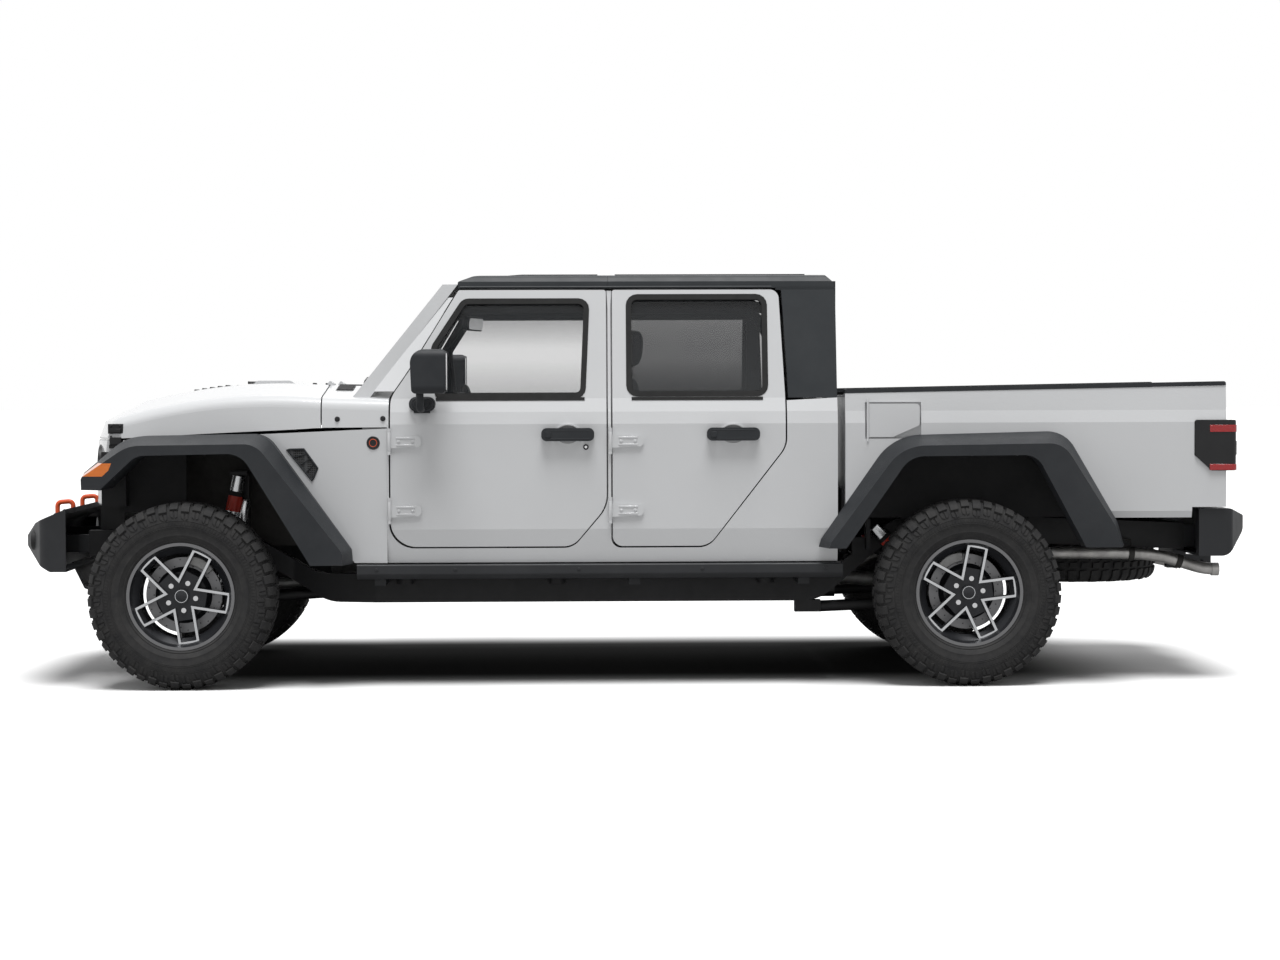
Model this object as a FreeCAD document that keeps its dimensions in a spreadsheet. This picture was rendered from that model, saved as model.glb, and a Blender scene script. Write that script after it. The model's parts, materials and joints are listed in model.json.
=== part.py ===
import FreeCAD, Part
import math
import os
import Sketcher
from FreeCAD import Placement, Rotation, Vector

# A crew-cab off-road pickup: ladder frame, live axles on coil springs, open bed and removable hard top.
# Millimetres. +X points forward, +Y to the left, +Z up; the origin is on the ground below the middle.

# Driving dimensions. A name starts with its group, so that wheelBase is read as wheel.base below.

sizes = {
    # Wheels: places, tyre and rim
    "wheelBase": 3487, "wheelFrontAxle": 2005, "wheelTrack": 1600, "wheelRadius": 414, "wheelWidth": 285,
    "wheelTread": 232, "wheelSidewall": 330, "wheelBead": 222, "wheelBeadHalf": 104, "wheelFlange": 238,
    "wheelBarrel": 205, "wheelWell": 188, "wheelDisc": 168, "wheelHub": 70, "wheelSpokeHalf": 46,
    "wheelSpokeEdge": 11, "wheelSpokeTip": 213, "wheelSpokeDepth": 38, "wheelFace": 78, "wheelDish": 52,
    "wheelPocket": 16, "wheelWindowFoot": 108, "wheelFrontPhase": 45, "wheelRearPhase": 61, "wheelStuds": 5,
    "wheelStudRing": 63.5, "wheelNut": 11, "wheelCap": 33, "wheelBore": 36, "wheelFit": 0.3,
    "wheelEndPlay": 2, "wheelDiscNear": -20, "wheelDiscThick": 26,
    # Steering
    "steerKingpin": 690, "steerArm": 150, "steerRodHeight": 372, "steerLinkHeight": 452,
    "steerBoxAhead": 330, "steerBoxSide": 300, "steerRod": 15, "steerFit": 0.5, "steerArmThick": 25,
    "steerEye": 22, "steerEyeHalf": 17, "steerSeat": 0.3, "steerPitmanThick": 14,
    # Body side
    "bodySillLow": 551, "bodyDoorGap": 7, "bodyBelt": 1168, "bodyCrease": 1222, "bodyGlassLow": 1282,
    "bodyCantRail": 1768, "bodyHalf": 804, "bodyHalfLow": 782, "bodyHalfCrease": 794, "bodyHalfGlass": 772,
    "bodyHalfRoof": 674, "bodyWall": 92, "bodyPillar": 44, "bodyRear": -907, "bodyHoodSeam": 1156,
    "bodyFront": 1394, "bodyLowTurn": 700,
    # Doors and their panes
    "frontDoorFront": 1087, "frontDoorRear": 125, "frontDoorLow": 622, "frontDoorRakeTop": 785,
    "frontDoorRakeX": 1005, "frontDoorRakeZ": 1405, "frontDoorRakeRound": 400, "frontDoorShoulder": 1285,
    "frontDoorShoulderRound": 110, "frontDoorToeRound": 115, "frontDoorHeelX": 275, "frontDoorHeelZ": 800,
    "frontDoorHeelRound": 90, "frontDoorHeelTopRound": 150, "frontDoorTopRound": 12,
    "rearDoorFront": 98, "rearDoorRear": -674, "rearDoorLow": 622, "rearDoorToeRound": 45,
    "rearDoorHeelX": -330, "rearDoorHeelRound": 90, "rearDoorKneeZ": 1065, "rearDoorKneeRound": 110,
    "rearDoorTopRear": -650, "rearDoorWaist": 1290, "rearDoorWaistRound": 500, "rearDoorTopRound": 40,
    "frontPaneRearLow": 222, "frontPaneRearTop": 202, "frontPaneLow": 1284, "frontPaneTop": 1726,
    "frontPaneFront": 884, "frontPaneKinkX": 905, "frontPaneKinkZ": 1512, "frontPaneTopFront": 765,
    "frontPaneCorner": 45, "frontPaneKinkRound": 60, "frontPaneNose": 25,
    "rearPaneFront": 32, "rearPaneRear": -595, "rearPaneLow": 1292, "rearPaneTop": 1744,
    "rearPaneCorner": 47,
    # Glass, hinges and handles of the doors
    "glassInset": 18, "glassThickness": 5,
    "hingeAhead": 4, "hingeOut": 818, "hingeRearAhead": 10, "hingeBarrel": 8, "hingeStrap": 138,
    "hingeStrapHeight": 60, "hingeUpper": 1092, "hingeLower": 784, "hingeLength": 88, "hingeFit": 0.5,
    "hingeStrapOut": 12, "hingeTaper": 6, "hingeStrapRound": 20, "hingeSquare": 30, "hingeSwingGap": 5.5,
    "hingeHeelPast": 40, "hingeHeelRoom": 30,
    "gripFrontRear": 180, "gripFrontFront": 415, "gripLow": 1092, "gripHigh": 1150, "gripOut": 845,
    "gripRearFront": -322, "gripRearRear": -557, "gripBar": 17, "gripFoot": 46, "gripRound": 24,
    # Outside mirror
    "mirrorRear": 830, "mirrorFront": 984, "mirrorLow": 1305, "mirrorHigh": 1499, "mirrorNear": 862,
    "mirrorFar": 1050, "mirrorArmX": 945, "mirrorArmZ": 1238, "mirrorArmRadius": 17, "mirrorCorner": 34,
    "mirrorSmall": 18, "mirrorLarge": 62,
    # Hood and the body ahead of the doors
    "hoodSkin": 26, "hoodBulge": 330, "hoodShoulder": 58, "hoodRound": 60, "hoodRearTop": 1344,
    "hoodRearLow": 1154, "hoodSeamGap": 6, "hoodPinX": 1397, "hoodPinZ": 1354, "hoodPin": 9,
    "hoodPinSide": 270, "hoodPinLong": 60, "hoodPinFit": 0.5, "hoodEarLong": 14, "hoodScoopHalf": 215,
    "hoodScoopFront": 1790, "hoodScoopRear": 1550, "hoodScoopTop": 1366,
    "noseHalfFront": 622, "noseFrontX": 2300, "noseFrontSeam": 1104, "noseWall": 38, "noseSillRear": 1250,
    "noseTurnX": 911, "noseHollow": 300, "noseFace": 2494, "noseBrow": 2466, "noseBrowZ": 1184,
    "noseCrest": 2396, "noseCrestZ": 1224, "noseBack": 2285, "noseBackZ": 1268, "noseRise": 1400,
    # Grille and lamps
    "grilleFace": 2504, "grilleTop": 2496, "grilleBrow": 1020, "grilleHalf": 610, "grilleLow": 800,
    "grilleHigh": 1098, "grilleDepth": 58, "grilleOpenHalf": 300, "grilleOpenLow": 905,
    "grilleOpenHigh": 1060, "grilleLampSide": 455, "grilleLampHeight": 988, "grilleLamp": 90,
    "grilleLampRear": 2356, "grilleLampFront": 2432, "grilleBarCount": 4, "grilleBar": 14,
    "grilleCoreHalf": 320, "grilleCoreRear": 2350, "grilleCoreFront": 2460,
    # Flares and wheel openings
    "archFront": 2448, "archTipLow": 887, "archTop": 1128,
    "archLow": 550, "archLegTop": 1640, "archLegFoot": 1450, "archOut": 945, "archInner": 616,
    "archSignalDeep": 90,
    "rearArchFront": -821, "rearArchRear": -2189, "rearArchLow": 616,
    # Bed, tailgate, fuel flap and rear lamps
    "bedFront": -941, "bedRear": -2650, "bedLow": 740, "bedFloor": 880, "bedFloorThick": 40,
    "bedInside": 721, "bedTopFront": 1300, "bedTopRear": 1330, "bedHeadWall": 95, "bedHouseHalf": 568,
    "bedHouseTop": 1090, "bedHouseFront": -1060, "bedHouseRear": -1910, "bedSheet": 30, "bedSillHalf": 35,
    "bedSillFront": -1250, "bedSillMiddle": -1830, "bedSillRear": -2420,
    "gateLow": 820, "gateAxisZ": 840, "gateAxisX": -2630, "gateThick": 60, "gateGap": 6, "gateTop": 1312,
    "gateFit": 0.3, "gateSwing": 45, "gatePin": 10, "gatePinLong": 14,
    "flapFront": -1047, "flapRear": -1273, "flapLow": 1105, "flapNotch": 52, "flapNotchLong": 120,
    "flapCorner": 18, "flapHigh": 1254, "flapThick": 14, "flapProud": 2, "flapGap": 7, "flapBarrel": 5,
    "flapAxisY": 806, "flapRoom": 26,
    "tailLampFront": -2506, "tailLampRear": -2696, "tailLampLow": 950, "tailLampHigh": 1177,
    "tailLampInner": 742, "tailLampProud": 10, "tailLampNotch": 70, "tailLampNotchLong": 78,
    "tailLampFit": 0.3,
    "capThick": 20, "capInner": 712, "capOuter": 790,
    # Cab tub
    "cabFloorLow": 570, "cabFloorHigh": 600, "cabWallRear": 1180, "cabWallFront": 1215, "cabRearWall": 40,
    "cabTunnelHalf": 138, "cabTunnelHigh": 706, "cabTunnelRear": 250, "cabSheet": 14, "cabFootIn": 700,
    "cabFootOut": 738, "cabPostRear": 92, "cabPostFront": 140, "cabPostIn": 640, "cabCowlTop": 1336,
    # Hard top and windscreen
    "roofLow": 1776, "roofFront": 789.7, "roofSplit": 117, "roofRear": -905, "roofSide": 1826,
    "roofCrown": 1862, "roofSkin": 34, "roofGap": 0.8, "roofEdge": 668, "roofShoulder": 640,
    "roofShoulderRound": 36, "roofCrownRound": 5200,
    "screenFoot": 1270, "screenBaseFront": 1228, "screenBaseRear": 1150, "screenTopFront": 858,
    "screenTopRear": 790, "screenLow": 1330, "screenHigh": 1794, "screenHalfLow": 706,
    "screenHalfHigh": 662, "screenOpenLow": 1380, "screenOpenHigh": 1735, "screenPost": 62,
    "screenCorner": 45,
    # Frame
    "railInner": 425, "railOuter": 495, "railNoseInner": 330, "railNoseOuter": 400, "railJogFront": 1560,
    "railJogRear": 1180, "railFront": 2500, "railRear": -2531.7, "railMidLow": 350, "railMidHigh": 480,
    "railAxleLow": 560, "railAxleHigh": 680, "railRearLow": 610, "railRearHigh": 730,
    # Bumpers and hitch
    "frontBumperFront": 2770, "frontBumperRear": 2528, "frontBumperHalf": 800, "frontBumperCentreHalf": 450,
    "frontBumperCornerX": 2640, "frontBumperTipLow": 618, "frontBumperTipHigh": 662, "frontBumperTop": 797,
    "frontBumperTopFront": 2690, "frontBumperTopFrontZ": 728, "frontBumperLow": 517,
    "frontBumperLowFront": 2600, "frontBumperWall": 10,
    "rearBumperFront": -2532, "rearBumperRear": -2770, "rearBumperHalf": 790, "rearBumperLow": 566,
    "rearBumperHigh": 779, "rearBumperCorner": 640, "rearBumperWall": 10,
    "receiverInside": 50.8, "receiverWall": 6.4, "receiverHeight": 492, "receiverFront": -2560,
    "receiverRear": -2770, "receiverPin": 16, "receiverPinX": -2725,
    "fogSide": 615, "fogHeight": 650, "fogRadius": 46, "fogRear": 2640, "fogFront": 2712,
    # Axles and spare wheel
    "axleTube": 42, "axleEnd": 590, "axleDiff": 132, "axleCover": 100, "axleDiffSide": 240,
    "axleHeight": 414, "axleSnout": 260,
    "spareCentreX": -2085, "spareHeight": 557,
}


doc = FreeCAD.newDocument("OffRoadTruck")
sheet = doc.addObject("Spreadsheet::Sheet", "Sizes")
kept = []


# A length that remembers how it follows from the cells of the sheet
class Size:
    def __init__(self, value, text):
        self.value = float(value)
        self.text = text

    def mixed(self, other, sign, result):
        return Size(result, f"({self.text} {sign} {text_of(other)})")

    def __add__(self, other):
        return self.mixed(other, "+", self.value + number_of(other))

    def __radd__(self, other):
        return self + other

    def __sub__(self, other):
        return self.mixed(other, "-", self.value - number_of(other))

    def __rsub__(self, other):
        return Size(other, repr(float(other))) - self

    def __mul__(self, other):
        return self.mixed(other, "*", self.value * number_of(other))

    def __rmul__(self, other):
        return self * other

    def __truediv__(self, other):
        return self.mixed(other, "/", self.value / number_of(other))

    def __neg__(self):
        return self * -1


def number_of(amount):
    return amount.value if isinstance(amount, Size) else float(amount)


def text_of(amount):
    return amount.text if isinstance(amount, Size) else repr(float(amount))


for row, (alias, value) in enumerate(sizes.items(), 1):
    sheet.set(f"A{row}", alias)
    sheet.set(f"B{row}", str(value))
    sheet.setAlias(f"B{row}", alias)


# The driving dimensions whose names start with one word
class Group:
    def __init__(self, group):
        for alias, value in sizes.items():
            rest = alias[len(group):]
            if alias.startswith(group) and rest[0].isupper():
                setattr(self, rest[0].lower() + rest[1:], Size(value, f"Sizes.{alias}"))


wheel = Group("wheel")
steer = Group("steer")
body = Group("body")
frontDoor = Group("frontDoor")
rearDoor = Group("rearDoor")
frontPane = Group("frontPane")
rearPane = Group("rearPane")
glass = Group("glass")
hinge = Group("hinge")
grip = Group("grip")
looks = Group("mirror")
hood = Group("hood")
nose = Group("nose")
grille = Group("grille")
arch = Group("arch")
rearArch = Group("rearArch")
bed = Group("bed")
gate = Group("gate")
flap = Group("flap")
tailLamp = Group("tailLamp")
cap = Group("cap")
cab = Group("cab")
roof = Group("roof")
screen = Group("screen")
rail = Group("rail")
frontBumper = Group("frontBumper")
rearBumper = Group("rearBumper")
receiver = Group("receiver")
fog = Group("fog")
axle = Group("axle")
spare = Group("spare")


# Helpers that make one object of the document each

def bind(thing, path, amount):
    thing.setExpression(path, text_of(amount))


def put(thing, x, y, z):
    for axis, amount in zip("xyz", (x, y, z)):
        bind(thing, "Placement.Base." + axis, amount)


def box(name, x, y, z):
    solid = doc.addObject("Part::Box", name)
    for side, (low, high) in zip(("Length", "Width", "Height"), (x, y, z)):
        bind(solid, side, high - low)
    put(solid, x[0], y[0], z[0])
    return solid


turn_to = {
    "X": Rotation(Vector(0, 1, 0), 90),
    "Y": Rotation(Vector(1, 0, 0), -90),
    "Z": Rotation(),
}


def cylinder(name, radius, axis, span, at):
    solid = doc.addObject("Part::Cylinder", name)
    solid.Placement = Placement(Vector(), turn_to[axis])
    bind(solid, "Radius", radius)
    bind(solid, "Height", span[1] - span[0])
    spot = list(at)
    spot.insert("XYZ".index(axis), span[0])
    put(solid, *spot)
    return solid


plane_turn = {
    "XY": Rotation(),
    "XZ": Rotation(Vector(1, 0, 0), 90),
    "YZ": Rotation(Vector(1, 1, 1), 120),
}


# A closed sketch with its corners at (u, v) or, where rounded, (u, v, radius)
def outline(name, plane, corners, at=(0, 0, 0), turn=0):
    sketch = doc.addObject("Sketcher::SketchObject", name)
    spin = Rotation(Vector(0, 1, 0), turn)
    sketch.Placement = Placement(Vector(), spin.multiply(plane_turn[plane]))
    put(sketch, *at)
    points = [Vector(number_of(corner[0]), number_of(corner[1]), 0) for corner in corners]
    radii = [number_of(corner[2]) if len(corner) > 2 else 0 for corner in corners]
    count = len(points)
    starts, ends, centres = [], [], []
    for index, point in enumerate(points):
        back = (points[index - 1] - point).normalize()
        ahead = (points[(index + 1) % count] - point).normalize()
        half = back.getAngle(ahead) / 2
        run = radii[index] / math.tan(half)
        starts.append(point + back * run)
        ends.append(point + ahead * run)
        centres.append(point + (back + ahead).normalize() * (radii[index] / math.sin(half)))
    lines = [Part.LineSegment(ends[index], starts[(index + 1) % count]) for index in range(count)]
    sketch.addGeometry(lines, False)
    rules = []
    driven = []
    for index, corner in enumerate(corners):
        before = (index - 1) % count
        spot = (index, 1)
        if radii[index]:
            spot = round_corner(sketch, rules, driven, before, index, corner,
                                (points, radii, starts, ends, centres))
        else:
            rules.append(Sketcher.Constraint("Coincident", before, 2, index, 1))
        for kind, amount, axis in (("DistanceX", corner[0], -2), ("DistanceY", corner[1], -1)):
            if abs(number_of(amount)) < 1e-9:
                rules.append(Sketcher.Constraint("PointOnObject", *spot, axis))
            else:
                rules.append(Sketcher.Constraint(kind, -1, 1, *spot, number_of(amount)))
                driven.append((len(rules) - 1, amount))
    sketch.addConstraint(rules)
    for index, amount in driven:
        if isinstance(amount, Size):
            sketch.setExpression(f"Constraints[{index}]", amount.text)
    return sketch


def round_corner(sketch, rules, driven, before, index, corner, found):
    points, radii, starts, ends, centres = found
    count = len(points)
    centre = centres[index]
    first = math.atan2(starts[index].y - centre.y, starts[index].x - centre.x)
    last = math.atan2(ends[index].y - centre.y, ends[index].x - centre.x)
    into = points[index] - points[index - 1]
    onward = points[(index + 1) % count] - points[index]
    left = into.cross(onward).z > 0
    if not left:
        first, last = last, first
    circle = Part.Circle(centre, Vector(0, 0, 1), radii[index])
    arc = sketch.addGeometry(Part.ArcOfCircle(circle, first, last), False)
    near, far = (1, 2) if left else (2, 1)
    rules.append(Sketcher.Constraint("Tangent", before, 2, arc, near))
    rules.append(Sketcher.Constraint("Tangent", arc, far, index, 1))
    rules.append(Sketcher.Constraint("Radius", arc, radii[index]))
    driven.append((len(rules) - 1, corner[2]))
    mark = sketch.addGeometry(Part.Point(points[index]), True)
    rules.append(Sketcher.Constraint("PointOnObject", mark, 1, before))
    rules.append(Sketcher.Constraint("PointOnObject", mark, 1, index))
    return (mark, 1)


def mirrored_corners(corners):
    # Adds the right-hand half of an outline given on its left-hand side, from bottom to top
    return corners + [(-corner[0],) + tuple(corner[1:]) for corner in reversed(corners)]


def prism(name, plane, corners, span, turn=0, at=(0, 0, 0)):
    # Sweeps an outline along the axis that its plane lacks, from span[0] to span[1]
    axis = next(letter for letter in "XYZ" if letter not in plane)
    spot = list(at)
    spot["XYZ".index(axis)] = spot["XYZ".index(axis)] + span[0]
    sketch = outline(name + "_outline", plane, corners, spot, turn)
    solid = doc.addObject("Part::Extrusion", name)
    solid.Base = sketch
    solid.DirMode = "Custom"
    solid.Dir = {"X": Vector(1, 0, 0), "Y": Vector(0, 1, 0), "Z": Vector(0, 0, 1)}[axis]
    bind(solid, "LengthFwd", span[1] - span[0])
    solid.Solid = True
    return solid


def turned(name, corners, at):
    # Spins a (Y, radius) outline about an axis along Y through the point given
    sketch = outline(name + "_outline", "YZ", corners, at)
    solid = doc.addObject("Part::Revolution", name)
    solid.Source = sketch
    solid.Axis = Vector(0, 1, 0)
    for axis, amount in zip("xyz", at):
        bind(solid, "Base." + axis, amount)
    solid.Angle = 360
    solid.Solid = True
    return solid


def spun(name, corners, centre_x):
    # Spins an (X, Z) outline, X counted from the upright axis at centre_x, about that axis
    sketch = outline(name + "_outline", "XZ", corners, (centre_x, 0, 0))
    solid = doc.addObject("Part::Revolution", name)
    solid.Source = sketch
    solid.Axis = Vector(0, 0, 1)
    bind(solid, "Base.x", centre_x)
    solid.Angle = 360
    solid.Solid = True
    return solid


def joined(name, *parts):
    fused = doc.addObject("Part::MultiFuse", name)
    fused.Shapes = list(parts)
    return fused


def cut(name, base, *tools):
    for index, tool in enumerate(tools):
        result = doc.addObject("Part::Cut", name if index == len(tools) - 1 else f"{name}_cut{index}")
        result.Base = base
        result.Tool = tool
        base = result
    return base


def common(name, first, second):
    result = doc.addObject("Part::Common", name)
    result.Base = first
    result.Tool = second
    return result


def mirror(name, source):
    result = doc.addObject("Part::Mirroring", name)
    result.Source = source
    result.Normal = Vector(0, 1, 0)
    return result


def group(name, *parts):
    result = doc.addObject("Part::Compound", name)
    result.Links = list(parts)
    return result


def both_sides(name, source):
    return group(name, source, mirror(name + "_right", source))


def bar(name, radius, points, bend=0):
    # A round bar along straight runs joined by tangent arcs
    spots = [Vector(*[number_of(amount) for amount in point]) for point in points]
    edges = []
    start = spots[0]
    for index in range(1, len(spots) - 1):
        corner = spots[index]
        back = (spots[index - 1] - corner).normalize()
        ahead = (spots[index + 1] - corner).normalize()
        half = back.getAngle(ahead) / 2
        run = number_of(bend) / math.tan(half)
        middle = (back + ahead).normalize() * (number_of(bend) / math.sin(half) - number_of(bend))
        edges.append(Part.LineSegment(start, corner + back * run).toShape())
        edges.append(Part.Arc(corner + back * run, corner + middle, corner + ahead * run).toShape())
        start = corner + ahead * run
    edges.append(Part.LineSegment(start, spots[-1]).toShape())
    ring = Part.Wire(Part.Circle(spots[0], spots[1] - spots[0], number_of(radius)).toShape())
    solid = doc.addObject("Part::Feature", name)
    solid.Shape = Part.Wire(edges).makePipeShell([ring], True, False)
    return solid


def keep(node, thing):
    thing.Label = node
    kept.append(thing)
    return thing


# Shared outlines

def side_skin(name, front, rear):
    # The wall of the body side: upright below the belt, a crease, then a lean inwards to the roof
    outer = [(body.halfLow, body.sillLow), (body.half, body.lowTurn), (body.half, body.belt),
             (body.halfCrease, body.crease), (body.halfGlass, body.glassLow),
             (body.halfRoof, body.cantRail)]
    inner = [(body.halfRoof - body.pillar, body.cantRail),
             (body.halfGlass - body.pillar, body.glassLow),
             (body.half - body.wall, body.crease), (body.half - body.wall, body.lowTurn),
             (body.halfLow - body.wall, body.sillLow)]
    return prism(name, "YZ", outer + inner, (rear, front))


def front_door_corners(gap=0):
    d = frontDoor
    return [(d.rakeTop + gap, body.cantRail + gap, d.topRound),
            (d.rakeX + gap, d.rakeZ, d.rakeRound),
            (d.front + gap, d.shoulder, d.shoulderRound),
            (d.front + gap, d.low - gap, d.toeRound),
            (d.heelX, d.low - gap, d.heelRound),
            (d.rear - gap, d.heelZ, d.heelTopRound),
            (d.rear - gap, body.cantRail + gap, d.topRound)]


def rear_door_corners(gap=0):
    d = rearDoor
    return [(d.front + gap, body.cantRail + gap, frontDoor.topRound),
            (d.front + gap, d.low - gap, d.toeRound),
            (d.heelX, d.low - gap, d.heelRound),
            (d.rear - gap, d.kneeZ, d.kneeRound),
            (d.rear - gap, d.waist, d.waistRound),
            (d.topRear - gap, body.cantRail + gap, d.topRound)]


def front_pane_corners():
    p = frontPane
    return [(p.rearLow, p.low, p.corner), (p.front, p.low, p.nose), (p.kinkX, p.kinkZ, p.kinkRound),
            (p.topFront, p.top, p.corner), (p.rearTop, p.top, p.corner)]


def rear_pane_corners():
    p = rearPane
    return [(p.front, p.low, p.corner), (p.front, p.top, p.corner), (p.rear, p.top, p.corner),
            (p.rear, p.low, p.corner)]


wide = (0, body.half + 60)


def door_with_glass(name, skin, pane_skin, door_corners, pane_corners, edge_x, rear_x, axis_x,
                    grip_x, heel):
    strap_x = edge_x - hinge.strap
    panel = common(name + "_panel", skin, prism(name + "_shape", "XZ", door_corners, (wide[1], 0)))
    window = prism(name + "_window", "XZ", pane_corners, (wide[1], 0))
    corner = box(name + "_corner", (rear_x - 5, rear_x + 60),
                 (body.half - body.wall - 20, body.half - hinge.square), (body.sillLow, body.glassLow))
    swing = cylinder(name + "_swing", axis_x - rear_x + body.doorGap - hinge.swingGap, "Z",
                     (body.sillLow - 5, body.glassLow + 5), (axis_x, hinge.out))
    # The same room along the slanting heel, whose inner edge would else meet the opening's
    near_x, knee_z, heel_x, low_z = heel
    slant = prism(name + "_slant", "XZ", [
        (near_x - hinge.heelPast, knee_z), (heel_x - hinge.heelPast, low_z - 1),
        (heel_x + hinge.heelRoom, low_z - 1), (near_x + hinge.heelRoom, knee_z)],
        (body.half - hinge.square, body.half - body.wall - 20))
    shell = cut(name + "_shell", panel, window, cut(name + "_relief", corner, swing), slant)
    pieces = [shell]
    for place, height in (("upper", hinge.upper), ("lower", hinge.lower)):
        span = (height - hinge.length / 2, height + hinge.length / 2)
        pieces.append(cylinder(f"{name}_{place}_barrel", hinge.barrel, "Z", span,
                               (axis_x, hinge.out)))
        tall = (height - hinge.strapHeight / 2, height + hinge.strapHeight / 2)
        pieces.append(prism(f"{name}_{place}_strap", "XZ", [
            (strap_x, tall[0] + hinge.taper, hinge.strapRound), (edge_x - 1, tall[0]),
            (edge_x - 1, tall[1]), (strap_x, tall[1] - hinge.taper, hinge.strapRound)],
            (hinge.out - 2, body.half - hinge.strapOut)))
        pieces.append(box(f"{name}_{place}_tongue", (edge_x - 2, axis_x),
                          (hinge.out - hinge.barrel, hinge.out), tall))
    pieces.append(grab_handle(name + "_handle", grip_x))
    door = joined(name, *pieces)
    pane = common(name + "_pane", pane_skin, window)
    return door, pane


def grab_handle(name, span):
    # A rounded bar on two feet, with room for the fingers behind it
    g = grip
    bow = prism(name + "_bow", "XZ", [(span[0], g.low, g.round), (span[1], g.low, g.round),
                                      (span[1], g.high, g.round), (span[0], g.high, g.round)],
                (g.out, body.half - hinge.strapOut))
    hand = box(name + "_hand", (span[0] + g.foot, span[1] - g.foot),
               (body.half, g.out - g.bar), (g.low - 1, g.high + 1))
    return cut(name, bow, hand)


def glass_skin(name, front, rear):
    lean = (body.halfGlass - body.halfRoof) / (body.cantRail - body.glassLow)
    outer_low = body.halfGlass - glass.inset + lean * 40
    outer_high = body.halfRoof - glass.inset
    low = body.glassLow - 40
    return prism(name, "YZ", [(outer_low, low), (outer_high, body.cantRail),
                              (outer_high - glass.thickness, body.cantRail),
                              (outer_low - glass.thickness, low)], (rear, front))


def build_doors(skin):
    pane_skin = glass_skin("pane_skin", frontDoor.front, rearDoor.rear)
    front, front_glass = door_with_glass(
        "front_door", skin, pane_skin, front_door_corners(), front_pane_corners(),
        frontDoor.front, frontDoor.rear, frontDoor.front + hinge.ahead,
        (grip.frontRear, grip.frontFront),
        (frontDoor.rear, frontDoor.heelZ, frontDoor.heelX, frontDoor.low))
    rear, rear_glass = door_with_glass(
        "rear_door", skin, pane_skin, rear_door_corners(), rear_pane_corners(),
        rearDoor.front, rearDoor.rear, rearDoor.front + hinge.rearAhead,
        (grip.rearRear, grip.rearFront),
        (rearDoor.rear, rearDoor.kneeZ, rearDoor.heelX, rearDoor.low))
    mirror_left = outside_mirror(skin)
    for node, part in (("door_front", front), ("glass_front", front_glass),
                       ("door_rear", rear), ("glass_rear", rear_glass), ("mirror", mirror_left)):
        keep(node + "_left", part)
        keep(node + "_right", mirror(node + "_other", part))


def outside_mirror(skin):
    m = looks
    across = prism("mirror_across", "YZ", [(m.near, m.low, m.corner), (m.far, m.low, m.corner),
                                           (m.far, m.high, m.corner), (m.near, m.high, m.corner)],
                   (m.rear, m.front))
    along = prism("mirror_along", "XZ", [(m.rear, m.low, m.small), (m.front - 8, m.low, m.small),
                                         (m.front, m.high, m.large), (m.rear, m.high, m.small)],
                  (m.far + 1, m.near - 1))
    head = common("mirror_head", across, along)
    foot = body.half - 2
    arm = bar("mirror_arm", m.armRadius, [(m.armX, foot, m.armZ),
                                          (m.armX, (m.near + m.far) / 2, m.armZ),
                                          (m.armX, (m.near + m.far) / 2, m.low + m.corner)], 40)
    plate = box("mirror_foot", (m.armX - 36, m.armX + 36), (body.half - 40, body.half + 8),
                (m.armZ - 20, m.armZ + 20))
    return cut("mirror_left_side", joined("mirror_whole", head, arm, plate), skin)


# Cab tub: floor with its tunnel, sills, side frames round the doors, fire wall, cowl and rear wall

def build_cab(skin):
    c = cab
    opening_front = prism("front_opening", "XZ", front_door_corners(body.doorGap), (wide[1], 0))
    opening_rear = prism("rear_opening", "XZ", rear_door_corners(body.doorGap), (wide[1], 0))
    start = frontDoor.front + body.doorGap * 2
    side_shape = prism("cab_side_shape", "XZ", [
        (body.rear, body.sillLow), (start, body.sillLow), (start, body.hoodSeam + 20),
        (body.rear, body.glassLow)], (wide[1], 0))
    side = cut("cab_side", common("cab_side_wall", skin, side_shape), opening_front, opening_rear)
    inner = body.half - body.wall
    floor = box("cab_floor", (body.rear, c.wallFront), (-inner - 10, inner + 10),
                (c.floorLow, c.floorHigh))
    tunnel_out = prism("tunnel_out", "YZ", tunnel_corners(c.sheet), (c.tunnelRear, c.wallFront))
    tunnel_in = prism("tunnel_in", "YZ", tunnel_corners(0), (c.tunnelRear + c.sheet,
                                                             c.wallFront + 1))
    rear_wall = box("cab_rear_wall", (body.rear, body.rear + c.rearWall), (-inner - 10, inner + 10),
                    (c.floorLow, body.glassLow))
    fire_low = box("fire_wall", (c.wallRear, c.wallFront), (-c.footIn, c.footIn),
                   (c.floorLow, body.hoodSeam + 40))
    outer = cowl_loft("cowl_outer", 0)
    inside = cowl_loft("cowl_inner", hood.skin)
    fire_high = common("fire_wall_high", outer, box(
        "fire_wall_room", (c.wallRear, c.wallFront), (-900, 900), (body.hoodSeam, 1500)))
    foot_side = box("foot_side", (start - 4, c.wallFront), (c.footIn - 1, c.footOut),
                    (c.floorLow, body.hoodSeam + 20))
    post = box("middle_post", (c.postRear, c.postFront), (c.postIn, inner - body.doorGap * 2),
               (c.floorHigh - 1, body.belt + 60))
    one_side = joined("cab_left_side", side, foot_side, post, *hinge_lugs())
    ears = hood_ears(1) + hood_ears(-1)
    whole = joined("cab_tub_all", *ears, one_side, mirror("cab_right_side", one_side), floor, fire_low,
                   fire_high, rear_wall, cut("cowl_shell", outer, inside), tunnel_out)
    keep("cab_tub", cut("cab_tub_done", whole, tunnel_in))


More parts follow.
